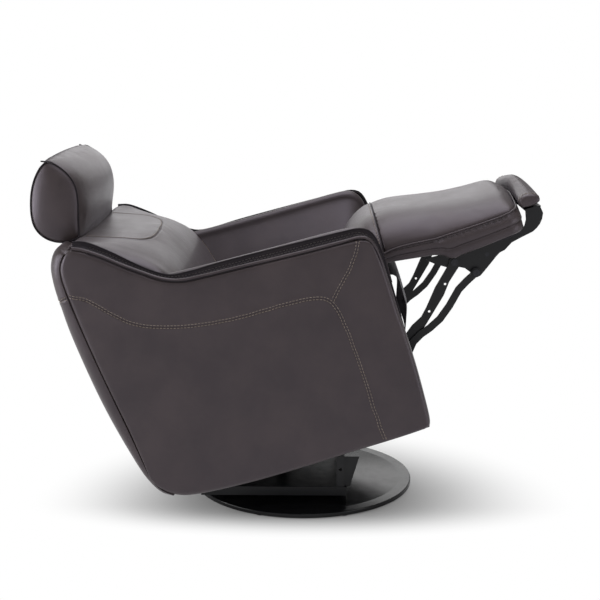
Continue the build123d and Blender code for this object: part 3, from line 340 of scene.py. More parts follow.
def level(points, y):
    """The height of a profile at y."""
    pts = sorted((Vector(p) for p in points), key=lambda p: p[0])
    if y <= pts[0][0]:
        return pts[0][1]
    for a, b in zip(pts, pts[1:]):
        if y <= b[0]:
            return a[1] + (b[1] - a[1]) * (y - a[0]) / (b[0] - a[0])
    return pts[-1][1]


def skin_through(name, rows):
    """A skin of quads through rows of points."""
    bpy.ops.object.select_all(action="DESELECT")
    bpy.ops.mesh.primitive_grid_add(x_subdivisions=len(rows[0]) - 1, y_subdivisions=len(rows) - 1)
    piece = bpy.context.object
    piece.name = name
    for vertex, point in zip(piece.data.vertices, (p for row in rows for p in row)):
        vertex.co = point
    return piece


def edit_whole(piece):
    """Opens a piece for editing with all of it selected."""
    only(piece)
    bpy.ops.object.mode_set(mode="EDIT")
    bpy.ops.mesh.select_all(action="SELECT")


def faced_out(piece, fold=50):
    """Turns a closed piece's faces outward. Folds sharper than so many degrees stay crisp."""
    edit_whole(piece)
    bpy.ops.mesh.normals_make_consistent(inside=False)
    bpy.ops.object.mode_set(mode="OBJECT")
    bpy.ops.object.shade_smooth_by_angle(angle=radians(fold))


def edit_rim(piece):
    """Opens a skin for editing with its rim selected."""
    only(piece)
    bpy.ops.object.mode_set(mode="EDIT")
    bpy.ops.mesh.select_mode(type="EDGE")
    bpy.ops.mesh.select_all(action="DESELECT")
    bpy.ops.mesh.select_non_manifold()


def backed(piece, *steps):
    """Turns a skin's rim back in steps of a move and a squeeze, and closes it with a lining."""
    edit_rim(piece)
    for move, squeeze in steps:
        bpy.ops.mesh.extrude_region_move(TRANSFORM_OT_translate={"value": move})
        bpy.ops.transform.resize(value=squeeze)
    bpy.ops.mesh.edge_face_add()
    bpy.ops.object.mode_set(mode="OBJECT")
    faced_out(piece)


def mirrored(piece, name):
    """The same piece for the other side of the chair."""
    only(piece)
    bpy.ops.object.duplicate()
    twin = bpy.context.object
    twin.name = name
    twin.data.transform(Matrix.Scale(-1, 4, (1, 0, 0)))
    twin.data.flip_normals()
    return twin


def run_length(points):
    return sum((Vector(b) - Vector(a)).length for a, b in zip(points, points[1:]))


def surface_of(piece):
    """A lookup of the nearest place on a piece."""
    mesh = piece.data
    return BVHTree.FromPolygons([v.co for v in mesh.vertices], [p.vertices for p in mesh.polygons])


def sewn(piece, seam, width, depth, refine=2):
    """Presses a seam into a piece: a narrow valley, with the leather swelling beside it."""
    surface = surface_of(piece)
    points = spline(seam, max(8, int(run_length(seam) / 0.002)))
    tree = KDTree(len(points))
    for i, point in enumerate(points):
        tree.insert(surface.find_nearest(point)[0], i)
    tree.balance()
    only(piece)
    bpy.ops.object.mode_set(mode="EDIT")
    bpy.ops.mesh.select_mode(type="VERT")
    for i in range(refine):
        bpy.ops.object.mode_set(mode="OBJECT")
        for element in (*piece.data.polygons, *piece.data.edges):
            element.select = False
        for vertex in piece.data.vertices:
            vertex.select = tree.find(vertex.co)[2] < width * (3.2 - i)
        bpy.ops.object.mode_set(mode="EDIT")
        bpy.ops.mesh.subdivide(number_cuts=1, smoothness=0)
    bpy.ops.object.mode_set(mode="OBJECT")
    normals = [v.normal.copy() for v in piece.data.vertices]
    for vertex, normal in zip(piece.data.vertices, normals):
        distance = tree.find(vertex.co)[2]
        if distance < 4 * width:
            valley = depth * exp(-(distance / (0.5 * width)) ** 2)
            swell = 0.3 * depth * exp(-((distance - 1.5 * width) / (0.8 * width)) ** 2)
            vertex.co += normal * (swell - valley)
    piece.data.update()


stitch_length = 0.0062   # stitches and thread are drawn a little coarser than life
stitch_gap = 0.0030
stitch_radius = 0.0009
stitch_sunk = 0.55       # how far its middle lies above the leather, as a share of its radius


def thread_path(name, points, radius=0.0):
    """A curve along the points, round if it is given a radius."""
    data = bpy.data.curves.new(name, "CURVE")
    data.dimensions = "3D"
    line = data.splines.new("POLY")
    line.points.add(len(points) - 1)
    for knot, point in zip(line.points, points):
        knot.co = (*point, 1)
    data.bevel_depth = radius
    data.bevel_resolution = 4
    data.use_fill_caps = True
    curve = bpy.data.objects.new(name, data)
    bpy.context.scene.collection.objects.link(curve)
    return curve


def stitched(name, piece, seam, offsets, body, yarn=thread):
    """Rows of stitches laid on a piece beside a seam of the upright seat, as one object."""
    surface = surface_of(piece)
    seam = [seat_frame @ point for point in seam]
    line = spline(seam, max(12, int(run_length(seam) / 0.008)))
    rows = []
    for offset in offsets:
        laid = []
        for point, along in zip(line, headings(line)):
            spot, normal = surface.find_nearest(point)[:2]
            across = along.cross(normal).normalized()
            spot, normal = surface.find_nearest(spot + across * offset)[:2]
            laid.append(spot + normal * stitch_radius * stitch_sunk)
        for _ in range(3):
            laid[1:-1] = [(a + 2 * b + c) / 4 for a, b, c in zip(laid, laid[1:], laid[2:])]
        for i, point in enumerate(laid):
            spot, normal = surface.find_nearest(point)[:2]
            laid[i] = spot + normal * stitch_radius * stitch_sunk
        bpy.ops.object.select_all(action="DESELECT")
        bpy.ops.mesh.primitive_cylinder_add(
            vertices=6, radius=stitch_radius, depth=stitch_length, rotation=(0, pi / 2, 0))
        row = bpy.context.object
        bpy.ops.object.transform_apply(location=True, rotation=True, scale=True)
        edit_whole(row)
        bpy.ops.mesh.bevel(offset=stitch_radius * 0.6, segments=1)
        bpy.ops.mesh.select_all(action="SELECT")
        bpy.ops.transform.translate(value=(stitch_length / 2, 0, 0))
        bpy.ops.object.mode_set(mode="OBJECT")
        path = thread_path(name + "_path", laid)
        run = row.modifiers.new("run", "ARRAY")
        run.fit_type = "FIT_CURVE"
        run.curve = path
        run.use_relative_offset = False
        run.use_constant_offset = True
        run.constant_offset_displace = (stitch_length + stitch_gap, 0, 0)
        follow = row.modifiers.new("follow", "CURVE")
        follow.object = path
        apply_modifiers(row)
        bpy.data.objects.remove(path)
        rows.append(row)
    bpy.ops.object.select_all(action="DESELECT")
    for row in rows:
        row.select_set(True)
    bpy.context.view_layer.objects.active = rows[0]
    if len(rows) > 1:
        bpy.ops.object.join()
    stitches = bpy.context.view_layer.objects.active
    stitches.name = name
    bpy.ops.object.shade_smooth()
    dress(stitches, yarn, body, "leather_skin")
    return stitches


def dress(piece, material, body, slot, *nodes):
    """Gives a finished piece its material, the body it moves with and the nodes it stands for."""
    piece.data.materials.clear()
    piece.data.materials.append(material)
    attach(piece, body)
    if nodes:
        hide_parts(*nodes)


sides = ((1, "left"), (-1, "right"))
toe_in = radians(3.0)
side_half = 0.418        # outer face at the seat frame's y = 0
wall = 0.024             # the panel with the edge of the board that it wraps
edge_round = 0.014
panel_swell = 0.004

top_line = [(-0.343, 0.640), (-0.330, 0.653), (-0.300, 0.657), (-0.159, 0.659), (0.002, 0.663),
            (0.100, 0.665), (0.160, 0.669), (0.212, 0.686), (0.262, 0.719), (0.305, 0.750),
            (0.348, 0.784), (0.392, 0.812), (0.420, 0.822), (0.440, 0.818)]
rear_line = [(0.404, 0.160), (0.419, 0.300), (0.434, 0.400), (0.448, 0.500), (0.461, 0.610),
             (0.468, 0.690), (0.471, 0.750), (0.464, 0.786), (0.440, 0.818)]
bottom_line = [(-0.366, 0.118), (-0.282, 0.110), (-0.142, 0.101), (-0.001, 0.091),
               (0.141, 0.085), (0.283, 0.087), (0.345, 0.099), (0.385, 0.128), (0.404, 0.160)]
front_line = [(-0.366, 0.118), (-0.373, 0.150), (-0.374, 0.276), (-0.370, 0.380),
              (-0.365, 0.440), (-0.360, 0.550), (-0.352, 0.620), (-0.343, 0.640)]
panel_length = 0.80
panel_height = 0.62


def steps_along(count, edge, length):
    """Shares of a length: close together within an edge's rounding, and even between."""
    near = [0, 0.06, 0.2, 0.42, 0.7, 1.0]
    start = [edge * s / length for s in near]
    middle = [start[-1] + (1 - 2 * start[-1]) * i / count for i in range(1, count)]
    return start + middle + [1 - s for s in reversed(start)]


def curve_at(points, share):
    place = share * (len(points) - 1)
    k = min(int(place), len(points) - 2)
    return points[k].lerp(points[k + 1], place - k)


bottom, top, front, rear = (profile(line, 200)
                            for line in (bottom_line, top_line, front_line, rear_line))
panel_rows = []
for v in steps_along(72, edge_round, panel_height):
    row = []
    for u in steps_along(84, edge_round, panel_length):
        corners = ((1 - u) * (1 - v) * bottom[0] + u * (1 - v) * bottom[-1]
                   + (1 - u) * v * top[0] + u * v * top[-1])
        spot = ((1 - v) * curve_at(bottom, u) + v * curve_at(top, u)
                + (1 - u) * curve_at(front, v) + u * curve_at(rear, v) - corners)
        from_side = edge_round - min(u, 1 - u) * panel_length
        from_end = edge_round - min(v, 1 - v) * panel_height
        over = min(edge_round, sqrt(max(0, from_side) ** 2 + max(0, from_end) ** 2))
        drop = edge_round - sqrt(edge_round ** 2 - over ** 2)
        swell = panel_swell * (1 - (2 * u - 1) ** 4) * (1 - (2 * v - 1) ** 4)
        row.append(Vector((swell - drop, spot.y, spot.z)))
    panel_rows.append(row)
side_leather = skin_through("side_leather_left", panel_rows)
backed(side_leather, ((edge_round - wall, 0, 0), (1, 1, 1)), ((0, 0, 0), (1, 0.975, 0.972)),
       ((wall - 0.008, 0, 0), (1, 1, 1)))

long_seam = [(0.462, 0.704), (0.436, 0.693), (0.407, 0.674), (0.378, 0.644), (0.345, 0.613),
             (0.310, 0.588), (0.272, 0.572), (0.200, 0.553), (0.121, 0.542), (0.039, 0.538),
             (-0.060, 0.540), (-0.130, 0.540), (-0.172, 0.536), (-0.196, 0.526), (-0.210, 0.505),
             (-0.218, 0.474), (-0.224, 0.430), (-0.230, 0.350), (-0.235, 0.261),
             (-0.239, 0.175), (-0.242, 0.116)]
nose_seam = [(-0.312, 0.654), (-0.303, 0.630), (-0.286, 0.605), (-0.262, 0.577),
             (-0.236, 0.550), (-0.211, 0.523)]
seam_width = 0.0045
seam_depth = 0.0017
row_spread = 0.0042

side_seams = [[Vector((panel_swell, y, z)) for y, z in seam] for seam in (long_seam, nose_seam)]
for seam in side_seams:
    sewn(side_leather, seam, seam_width, seam_depth)
toed = Matrix.Translation((side_half, 0, 0)) @ Matrix.Rotation(toe_in, 4, "Z")
side_leather.data.transform(toed)
side_twin = mirrored(side_leather, "side_leather_right")
for (side, name), piece in zip(sides, (side_leather, side_twin)):
    lean_back(piece)
    dress(piece, cowhide, "seat_body", "leather_skin", f"side_panel_{name}")
    for i, seam in enumerate(side_seams):
        laid = [toed @ p * Vector((side, 1, 1)) for p in seam]
        stitched(f"side_stitches_{name}_{i + 1}", piece, laid, (-row_spread, row_spread),
                 "seat_body")

# ------------------------ arm welts
# A leather strip hides the joint between each side panel and its arm pad, from the foot of the
# front over the nose and up to the top of the back. A cord along each edge makes it a ridge,
# and the strip between them is sewn down into a groove.

outer_cord = 0.0042
inner_cord = 0.0024
edge_bead = 0.0015       # a thin cord in the joint beside the outer ridge
bead_out = 0.0050        # from the middle of one cord to that of the other
groove_depth = 0.0030
groove_row = 0.0036      # a row of stitches lies so far to each side of the groove's middle
welt_inset = 0.0243      # the strip's inner edge, from the side's outer face


def toed_x(y, inset):
    """How far out a plane lies that is set in from the side's outer face."""
    return side_half - inset - y * tan(toe_in)


outer_welt = [(0.013, -0.362, 0.150), (0.013, -0.366, 0.276), (0.012, -0.363, 0.400),
              (0.011, -0.358, 0.530), (0.008, -0.354, 0.600), (0.006, -0.344, 0.644),
              (0.006, -0.322, 0.660), (0.006, -0.280, 0.661), (0.005, -0.159, 0.662),
              (0.005, 0.002, 0.666), (0.005, 0.105, 0.668), (0.005, 0.165, 0.672),
              (0.005, 0.212, 0.689), (0.005, 0.262, 0.722), (0.005, 0.305, 0.753),
              (0.005, 0.348, 0.787), (0.006, 0.392, 0.815), (0.008, 0.418, 0.825)]
inner_welt = [(0.030, -0.364, 0.150), (0.030, -0.369, 0.276), (0.030, -0.368, 0.400),
              (0.029, -0.366, 0.530), (0.026, -0.363, 0.611), (0.022, -0.351, 0.661),
              (0.020, -0.324, 0.680), (0.020, -0.280, 0.6835), (0.020, -0.163, 0.6855),
              (0.020, -0.056, 0.6870), (0.020, 0.052, 0.6875), (0.020, 0.135, 0.6855),
              (0.020, 0.190, 0.690), (0.020, 0.234, 0.714), (0.020, 0.277, 0.748),
              (0.020, 0.325, 0.790), (0.020, 0.378, 0.829), (0.021, 0.414, 0.840)]

# painted shade: a near-black hide, dark as shade, for the welt's grooved strip, the inner pipings,
# the thin cords in joints and the headrest's pipings
shade_painted_cowhide = leather("cowhide_painted_shade", "#0d0a0a", "#151110", 0.62, 1.33)


def welt_line(points, side):
    return [Vector((side * toed_x(y, inset), y, z)) for inset, y, z in points]


def closed_tube(name, rows, fold=50):
    """A skin whose rows are closed loops, with its seam merged and its two ends capped."""
    piece = skin_through(name, rows)
    edit_whole(piece)
    bpy.ops.mesh.remove_doubles(threshold=0.00002)
    bpy.ops.mesh.fill_holes(sides=0)
    bpy.ops.object.mode_set(mode="OBJECT")
    faced_out(piece, fold)
    return piece


def piping(name, points, radius, body, hide=cowhide):
    """A leather-covered cord along the points."""
    cord = thread_path(name, spline(points, max(12, 6 * len(points))), radius)
    only(cord)
    bpy.ops.object.convert(target="MESH")
    bpy.ops.object.shade_smooth()
    cord.data.transform(seat_frame)
    dress(cord, hide, body, "leather_skin")


for side, name in sides:
    outer, inner = (spline(welt_line(line, side), 150) for line in (outer_welt, inner_welt))
    rows = []
    for a, b, along in zip(outer, inner, headings(outer)):
        proud = side * along.cross(b - a).normalized()
        section = [(0, 0), (0.14, 0), (0.3, -groove_depth), (0.5, -groove_depth * 1.25),
                   (0.7, -groove_depth), (0.86, 0), (1, 0), (1, -0.006), (0, -0.006), (0, 0)]
        rows.append([a.lerp(b, share) + proud * height for share, height in section])
    strip = closed_tube(f"welt_strip_{name}", rows)
    lean_back(strip)
    # the strip, the inner piping and the bead in the joint are in the near-black hide: painted
    # shade in the groove and joints
    dress(strip, shade_painted_cowhide, "seat_body", "leather_skin", "arm_welts")
    piping(f"outer_piping_{name}", welt_line(outer_welt, side), outer_cord, "seat_body")
    piping(f"inner_piping_{name}", welt_line(inner_welt, side), inner_cord, "seat_body",
           shade_painted_cowhide)
    edges = list(zip(outer[::6], inner[::6]))
    piping(f"outer_bead_{name}", [a + (a - b).normalized() * bead_out for a, b in edges],
           edge_bead, "seat_body", shade_painted_cowhide)
    stitched(f"strip_stitches_{name}", strip, [a.lerp(b, 0.5) for a, b in edges],
             (-groove_row, groove_row), "seat_body", painted_shade_thread)

# ------------------------ arm pads
# Foam over the inside of each side board, covered with one hide that comes up from the seat,
# rolls over the top of the arm, and is drawn down its front over a thin board.

pad_inside = 0.268
facing_inside = 0.286
facing_top = 0.60        # from here the cover narrows to the facing, over so much of its height
facing_run = 0.14
pad_section = [(0, 0.000, 0.000), (0, 0.014, 0.218), (0.5, -0.010, 0.543), (1, -0.034, 0.868),
               (1, -0.030, 0.950), (1, -0.021, 0.992), (1, -0.011, 1.000), (1, 0.000, 0.978),
               (1, 0.005, 0.940)]      # share of the width, offset, share of the height
pad_hidden = [(1, 0.000, 0.850), (1, 0.000, 0.000), (0, 0.000, 0.000)]
pad_rim = [(0.225, 0.692), (0.120, 0.6895), (0.000, 0.6885), (-0.100, 0.6885), (-0.200, 0.689),
           (-0.262, 0.689), (-0.300, 0.687), (-0.326, 0.678), (-0.343, 0.659),
           (-0.352, 0.634), (-0.358, 0.590), (-0.363, 0.530), (-0.365, 0.460),
           (-0.366, 0.380), (-0.366, 0.280), (-0.364, 0.190), (-0.360, 0.132)]
pad_foot = [(0.225, 0.470), (0.120, 0.470), (0.000, 0.470), (-0.100, 0.470), (-0.200, 0.470),
            (-0.245, 0.470), (-0.262, 0.470), (-0.272, 0.470), (-0.280, 0.470),
            (-0.288, 0.470), (-0.300, 0.470), (-0.318, 0.465), (-0.334, 0.440),
            (-0.344, 0.380), (-0.347, 0.280), (-0.347, 0.190), (-0.345, 0.132)]

pad_rows = []
for rim, foot in zip(profile(pad_rim, 90), profile(pad_foot, 90)):
    to_facing = min(1, max(0, (facing_top - rim.z) / facing_run))
    inside = pad_inside + (facing_inside - pad_inside) * to_facing
    row = []
    for share, offset, rise in pad_section + pad_hidden:
        spot = foot.lerp(rim, rise)
        x = inside + (toed_x(spot.y, welt_inset) - inside) * share + offset * (1 - 0.8 * to_facing)
        row.append(Vector((x, spot.y, spot.z)))
    pad_rows.append(spline(row[:-3], 40) + row[-3:-1] + [row[0].copy()])
arm_pad = closed_tube("arm_pad_left", pad_rows)
arm_twin = mirrored(arm_pad, "arm_pad_right")
for name, piece in (("left", arm_pad), ("right", arm_twin)):
    lean_back(piece)
    dress(piece, cowhide, "seat_body", "leather_cushion", f"arm_liner_{name}", "arm_facings")

# ------------------------ back pad with its wings
# One foam form runs from wing to wing over the timber back. Its face leans up from the seat and
# rolls into a broad shelf below the headrest, on which a horseshoe seam is sewn.

back_slices = {
    0.0: [(0.102, 0.470), (0.152, 0.603), (0.194, 0.703), (0.236, 0.772), (0.292, 0.794),
          (0.350, 0.811), (0.388, 0.826), (0.414, 0.834), (0.438, 0.828)],
    0.6: [(0.106, 0.470), (0.154, 0.603), (0.195, 0.698), (0.236, 0.752), (0.289, 0.785),
          (0.348, 0.808), (0.388, 0.824), (0.414, 0.834), (0.438, 0.827)],
    0.86: [(0.112, 0.470), (0.158, 0.603), (0.197, 0.690), (0.235, 0.735), (0.289, 0.771),
           (0.345, 0.805), (0.385, 0.826), (0.412, 0.836), (0.436, 0.829)],
    0.95: [(0.116, 0.470), (0.160, 0.603), (0.198, 0.688), (0.234, 0.728), (0.289, 0.765),
           (0.345, 0.804), (0.380, 0.828), (0.410, 0.837), (0.434, 0.829)],
    1.0: [(0.118, 0.470), (0.161, 0.603), (0.198, 0.676), (0.234, 0.712), (0.280, 0.745),
          (0.335, 0.789), (0.378, 0.824), (0.410, 0.836), (0.432, 0.826)]}


blow_frames = 20


def stuffed(piece, pressure, reach, held=None, voxel=0.006):
    """Fills a sewn cover: it is blown up as cloth, and no point moves further than its reach.
    held gives how free a point is, from 0 where the cover is sewn or touches, to 1."""
    only(piece)
    remesh = piece.modifiers.new("even", "REMESH")
    remesh.mode = "VOXEL"
    remesh.voxel_size = voxel
    apply_modifiers(piece)
    before = [v.co.copy() for v in piece.data.vertices]
    cloth = piece.modifiers.new("cover", "CLOTH")
    cloth.settings.use_pressure = True
    cloth.settings.uniform_pressure_force = pressure
    cloth.settings.effector_weights.gravity = 0
    cloth.settings.tension_stiffness = 40
    cloth.settings.compression_stiffness = 40
    cloth.settings.bending_stiffness = 2
    for step in range(1, blow_frames + 1):
        bpy.context.scene.frame_set(step)
    blown = piece.evaluated_get(bpy.context.evaluated_depsgraph_get())
    after = [v.co.copy() for v in blown.data.vertices]
    piece.modifiers.clear()
    bpy.context.scene.frame_set(1)
    for vertex, start, end in zip(piece.data.vertices, before, after):
        move = end - start
        length = move.length
        if length > 0:
            move *= reach * (1 - exp(-length / reach)) / length
        if held:
            move *= max(0.0, min(1.0, held(start)))
        vertex.co = start + move
    relax = piece.modifiers.new("relax", "SMOOTH")
    relax.iterations = 4
    finer = piece.modifiers.new("finer", "SUBSURF")
    finer.levels = finer.render_levels = 1
    apply_modifiers(piece)
    bpy.ops.object.shade_smooth()


arm_level = 0.690
pad_level = 0.470


def back_half(y, z):
    """Half the width of the back pad: between the arm pads low down, then out to the welts."""
    if z > arm_level:
        return toed_x(y, 0.022)
    return 0.300 + 0.084 * (z - pad_level) / 0.220


shares = [-1.0, -0.95, -0.86, -0.6, 0.0, 0.6, 0.86, 0.95, 1.0]
around = [[Vector((share * back_half(p.y, p.z), p.y, p.z))
           for p in profile(back_slices[abs(share)], 90)] for share in shares]
back_pad = skin_through("back_pad", [spline(line, 120) for line in zip(*around)])
backed(back_pad, ((0, 0.02, -0.02), (0.97, 0.97, 0.97)))
# the fill is free in the middle, and held at the welts, on the shelf and down by the seat
stuffed(back_pad, 2.5, 0.005,
        lambda p: min((back_half(p.y, p.z) - abs(p.x)) / 0.07, (0.400 - p.y) / 0.07,
                      (p.z - 0.62) / 0.05))

horseshoe = [(-0.236, 0.405, 0.828), (-0.234, 0.355, 0.809), (-0.230, 0.308, 0.791),
             (-0.214, 0.273, 0.774), (-0.170, 0.249, 0.766), (-0.090, 0.239, 0.768),
             (0, 0.240, 0.772), (0.090, 0.247, 0.775), (0.160, 0.264, 0.779),
             (0.208, 0.300, 0.790), (0.230, 0.352, 0.809), (0.236, 0.405, 0.828)]
horseshoe = [Vector(p) for p in horseshoe]
sewn(back_pad, horseshoe, 0.0045, 0.0022)
lean_back(back_pad)
dress(back_pad, cowhide, "seat_body", "leather_cushion", "back_cushion", "wing_liners")
stitched("horseshoe_stitches", back_pad, horseshoe, (-0.0048,), "seat_body")
arm_joint = [(0.394, 0.216, 0.706), (0.386, 0.204, 0.690), (0.368, 0.192, 0.668),
             (0.346, 0.181, 0.640), (0.328, 0.165, 0.605), (0.312, 0.150, 0.570)]
for side, name in sides:
    laid = [Vector((side * (x - 0.010), y, z)) for x, y, z in arm_joint]
    stitched(f"arm_joint_stitches_{name}", back_pad, laid, (0,), "seat_body")

# ------------------------ outer back
# Leather over wadding closes the back from side to side. It is fuller than the sides, rolls in
# at its top and bottom, and is joined across by one double seam.

back_profile = [(0.436, 0.826), (0.450, 0.835), (0.466, 0.832), (0.482, 0.817), (0.495, 0.792),
                (0.501, 0.764), (0.504, 0.724), (0.503, 0.680), (0.501, 0.609), (0.491, 0.505),
                (0.477, 0.400), (0.458, 0.300), (0.431, 0.193), (0.412, 0.148), (0.388, 0.112),
                (0.358, 0.096)]
rear_seam = [(0.436, 0.815), (0.442, 0.816), (0.452, 0.806), (0.461, 0.792), (0.468, 0.772),
             (0.471, 0.750), (0.470, 0.715), (0.468, 0.680), (0.461, 0.609), (0.448, 0.500),
             (0.434, 0.398), (0.420, 0.298), (0.406, 0.190), (0.397, 0.150), (0.378, 0.120),
             (0.354, 0.102)]
corner = 0.052


def carried_across(points):
    """A line from one edge to the middle, carried on to the other edge."""
    return points + [Vector((-p.x, p.y, p.z)) for p in points[-2::-1]]


shell_rows = []
for back, seam in zip(profile(back_profile, 110), profile(rear_seam, 110)):
    half = toed_x(seam.y, 0.004)
    row = []
    for i in range(9):
        turn = pi / 2 * i / 8
        row.append(Vector((half - corner * (1 - cos(turn)), seam.y + (back.y - seam.y) * sin(turn),
                           seam.z + (back.z - seam.z) * sin(turn))))
    for share in (0.88, 0.7, 0.45, 0.2, 0.0):
        row.append(Vector(((half - corner) * share, back.y + 0.006 * (1 - share ** 2), back.z)))
    shell_rows.append(spline(carried_across(row), 90))
outer_skin = skin_through("outer_back_leather", shell_rows)
backed(outer_skin, ((0, -0.012, 0), (0.97, 1, 0.985)))
half_seam = [(-0.392, 0.474, 0.699), (-0.380, 0.492, 0.696), (-0.350, 0.503, 0.693),
             (-0.2, 0.509, 0.692), (0, 0.510, 0.692)]
cross_seam = carried_across([Vector(p) for p in half_seam])
sewn(outer_skin, cross_seam, seam_width, seam_depth)
lean_back(outer_skin)
dress(outer_skin, cowhide, "seat_body", "leather_shell", "outer_back")
stitched("outer_back_stitches", outer_skin, cross_seam, (-row_spread, row_spread), "seat_body")

# ------------------------ seat cushion
# A foam block on the webbing, covered in leather, that fills the space between the arms. The
# foam is cut over-size, so the cover is tight and swells between its edges.

seat_half = 0.264
seat_front, seat_rear = -0.352, 0.118
seat_low, seat_high = 0.386, 0.478
seat_crown = 0.010

bpy.ops.object.select_all(action="DESELECT")
bpy.ops.mesh.primitive_cube_add(size=1)
seat_pad = bpy.context.object
seat_pad.name = "seat_pad"
seat_pad.scale = (2 * seat_half, seat_rear - seat_front, seat_high - seat_low)
seat_pad.location = (0, (seat_front + seat_rear) / 2, (seat_low + seat_high) / 2)
bpy.ops.object.transform_apply(location=True, rotation=True, scale=True)
edit_whole(seat_pad)
bpy.ops.mesh.bevel(offset=0.03, segments=6, profile=0.5)
bpy.ops.mesh.select_all(action="SELECT")
bpy.ops.mesh.subdivide(number_cuts=7, smoothness=0)
bpy.ops.object.mode_set(mode="OBJECT")
for vertex in seat_pad.data.vertices:
    if vertex.co.z > (seat_low + seat_high) / 2:
        to_side = vertex.co.x / seat_half
        to_end = (2 * vertex.co.y - seat_front - seat_rear) / (seat_rear - seat_front)
        vertex.co.z += seat_crown * max(0, (1 - to_side ** 2) * (1 - to_end ** 2))
bpy.ops.object.shade_smooth()
stuffed(seat_pad, 3.0, 0.006)
lean_back(seat_pad)
dress(seat_pad, cowhide, "seat_body", "leather_cushion", "seat_cushion")

# ------------------------ seat bridge
# A soft gusset of foam and leather carries the line of the seat up to the footrest, where it
# is seamed. In the chair it is pressed flat when the footrest swings down; here it keeps one shape.

bridge_side = [(-0.229, 0.489), (-0.240, 0.512), (-0.258, 0.532), (-0.282, 0.548),
               (-0.306, 0.559), (-0.328, 0.567), (-0.350, 0.572), (-0.371, 0.574)]
bridge_middle = [(-0.229, 0.500), (-0.238, 0.548), (-0.256, 0.590), (-0.282, 0.622),
                 (-0.308, 0.643), (-0.330, 0.656), (-0.350, 0.664), (-0.371, 0.667)]
bridge_half = 0.262
bridge_low = 0.490
bridge_steps = 24        # faces from the middle to each side


def crowned(share):
    """How full the foam is at a share of its half width: full in the middle, none at the edge."""
    return (1 - sin(abs(share) * pi / 2) ** 4.0) ** 0.6


bridge_rows = []
for side_point, crown_point in zip(profile(bridge_side, 36), profile(bridge_middle, 36)):
    row = []
    for i in range(-bridge_steps, bridge_steps + 1):
        share = i / bridge_steps
        spot = side_point.lerp(crown_point, crowned(share))
        row.append(Vector((bridge_half * sin(share * pi / 2), spot.y, spot.z)))
    bridge_rows.append(row)
bridge = skin_through("bridge_pad", bridge_rows)
edit_rim(bridge)
bpy.ops.mesh.extrude_region_move()
bpy.ops.mesh.edge_face_add()
bpy.ops.object.mode_set(mode="OBJECT")
for vertex in bridge.data.vertices[len(bridge_rows) * len(row):]:
    vertex.co.z = bridge_low
faced_out(bridge)
bridge_seam = [side_point.lerp(crown_point, crowned(k / 12))
               + Vector((bridge_half * sin(k / 12 * pi / 2), 0.0075, 0)) for k in range(-12, 13)]
lean_back(bridge)
dress(bridge, cowhide, "seat_body", "leather_cushion", "seat_bridge")
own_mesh(bridge)
bridge_row = stitched("bridge_stitches", bridge, bridge_seam, (0,), "seat_body")
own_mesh(bridge_row)

# ------------------------ footrest cushion
# A long foam pad on the footrest board. Its top hide meets a skirt in a stitched flange along
# the sides and round the front. The skirt is drawn over the board's edge and stapled beneath.

rest_half = 0.262
rest_front = -0.742
front_corner = 0.030
flare = 0.005
bow = 0.020              # how far the middle of the front stands out
bow_rise = 0.011
bow_start = -0.66
bow_run = 0.082
rest_top = [(-0.369, 0.668), (-0.401, 0.668), (-0.445, 0.664), (-0.518, 0.652), (-0.577, 0.643),
            (-0.637, 0.6385), (-0.690, 0.637), (-0.715, 0.633), (-0.733, 0.621), (-0.742, 0.599)]
rest_seam = [(-0.800, 0.597), (-0.742, 0.596), (-0.700, 0.588), (-0.637, 0.583), (-0.577, 0.580),
             (-0.518, 0.576), (-0.445, 0.580), (-0.401, 0.580), (-0.360, 0.572)]
skirt_foot = [(-0.800, 0.538), (-0.752, 0.536), (-0.713, 0.531), (-0.637, 0.521),
              (-0.567, 0.514), (-0.553, 0.510), (-0.533, 0.516), (-0.525, 0.526),
              (-0.498, 0.534), (-0.395, 0.545), (-0.360, 0.546)]



def bowed(point):
    """The front of the footrest is bowed forward, and rises to its middle."""
    share = max(0, 1 - abs(point.x / rest_half) ** 1.4)
    near = min(1, max(0, (bow_start - point.y) / bow_run))
    return point + share * Vector((0, -bow * near, bow_rise * near ** 2))


rest_rows = []
for middle in profile(rest_top, 80):
    edge_z = level(rest_seam, middle.y)
    into_corner = max(0, rest_front + front_corner - middle.y)
    half = rest_half - front_corner + sqrt(max(0, front_corner ** 2 - into_corner ** 2))
    row = []
    for k in range(-30, 31):
        share = k / 30
        rise = max(0, middle.z - edge_z) * crowned(share)
        row.append(bowed(Vector((half * sin(share * pi / 2), middle.y, edge_z + rise))))
    rest_rows.append(row)
rest_pad = skin_through("footrest_pad", rest_rows)
backed(rest_pad, ((0, 0, -0.004), (0.985, 0.99, 1)), ((0, 0, -0.016), (0.98, 0.985, 1)))
stuffed(rest_pad, 3.0, 0.003,
        lambda p: min((p.z - level(rest_seam, p.y) - 0.006) / 0.03, (-0.371 - p.y) / 0.05))

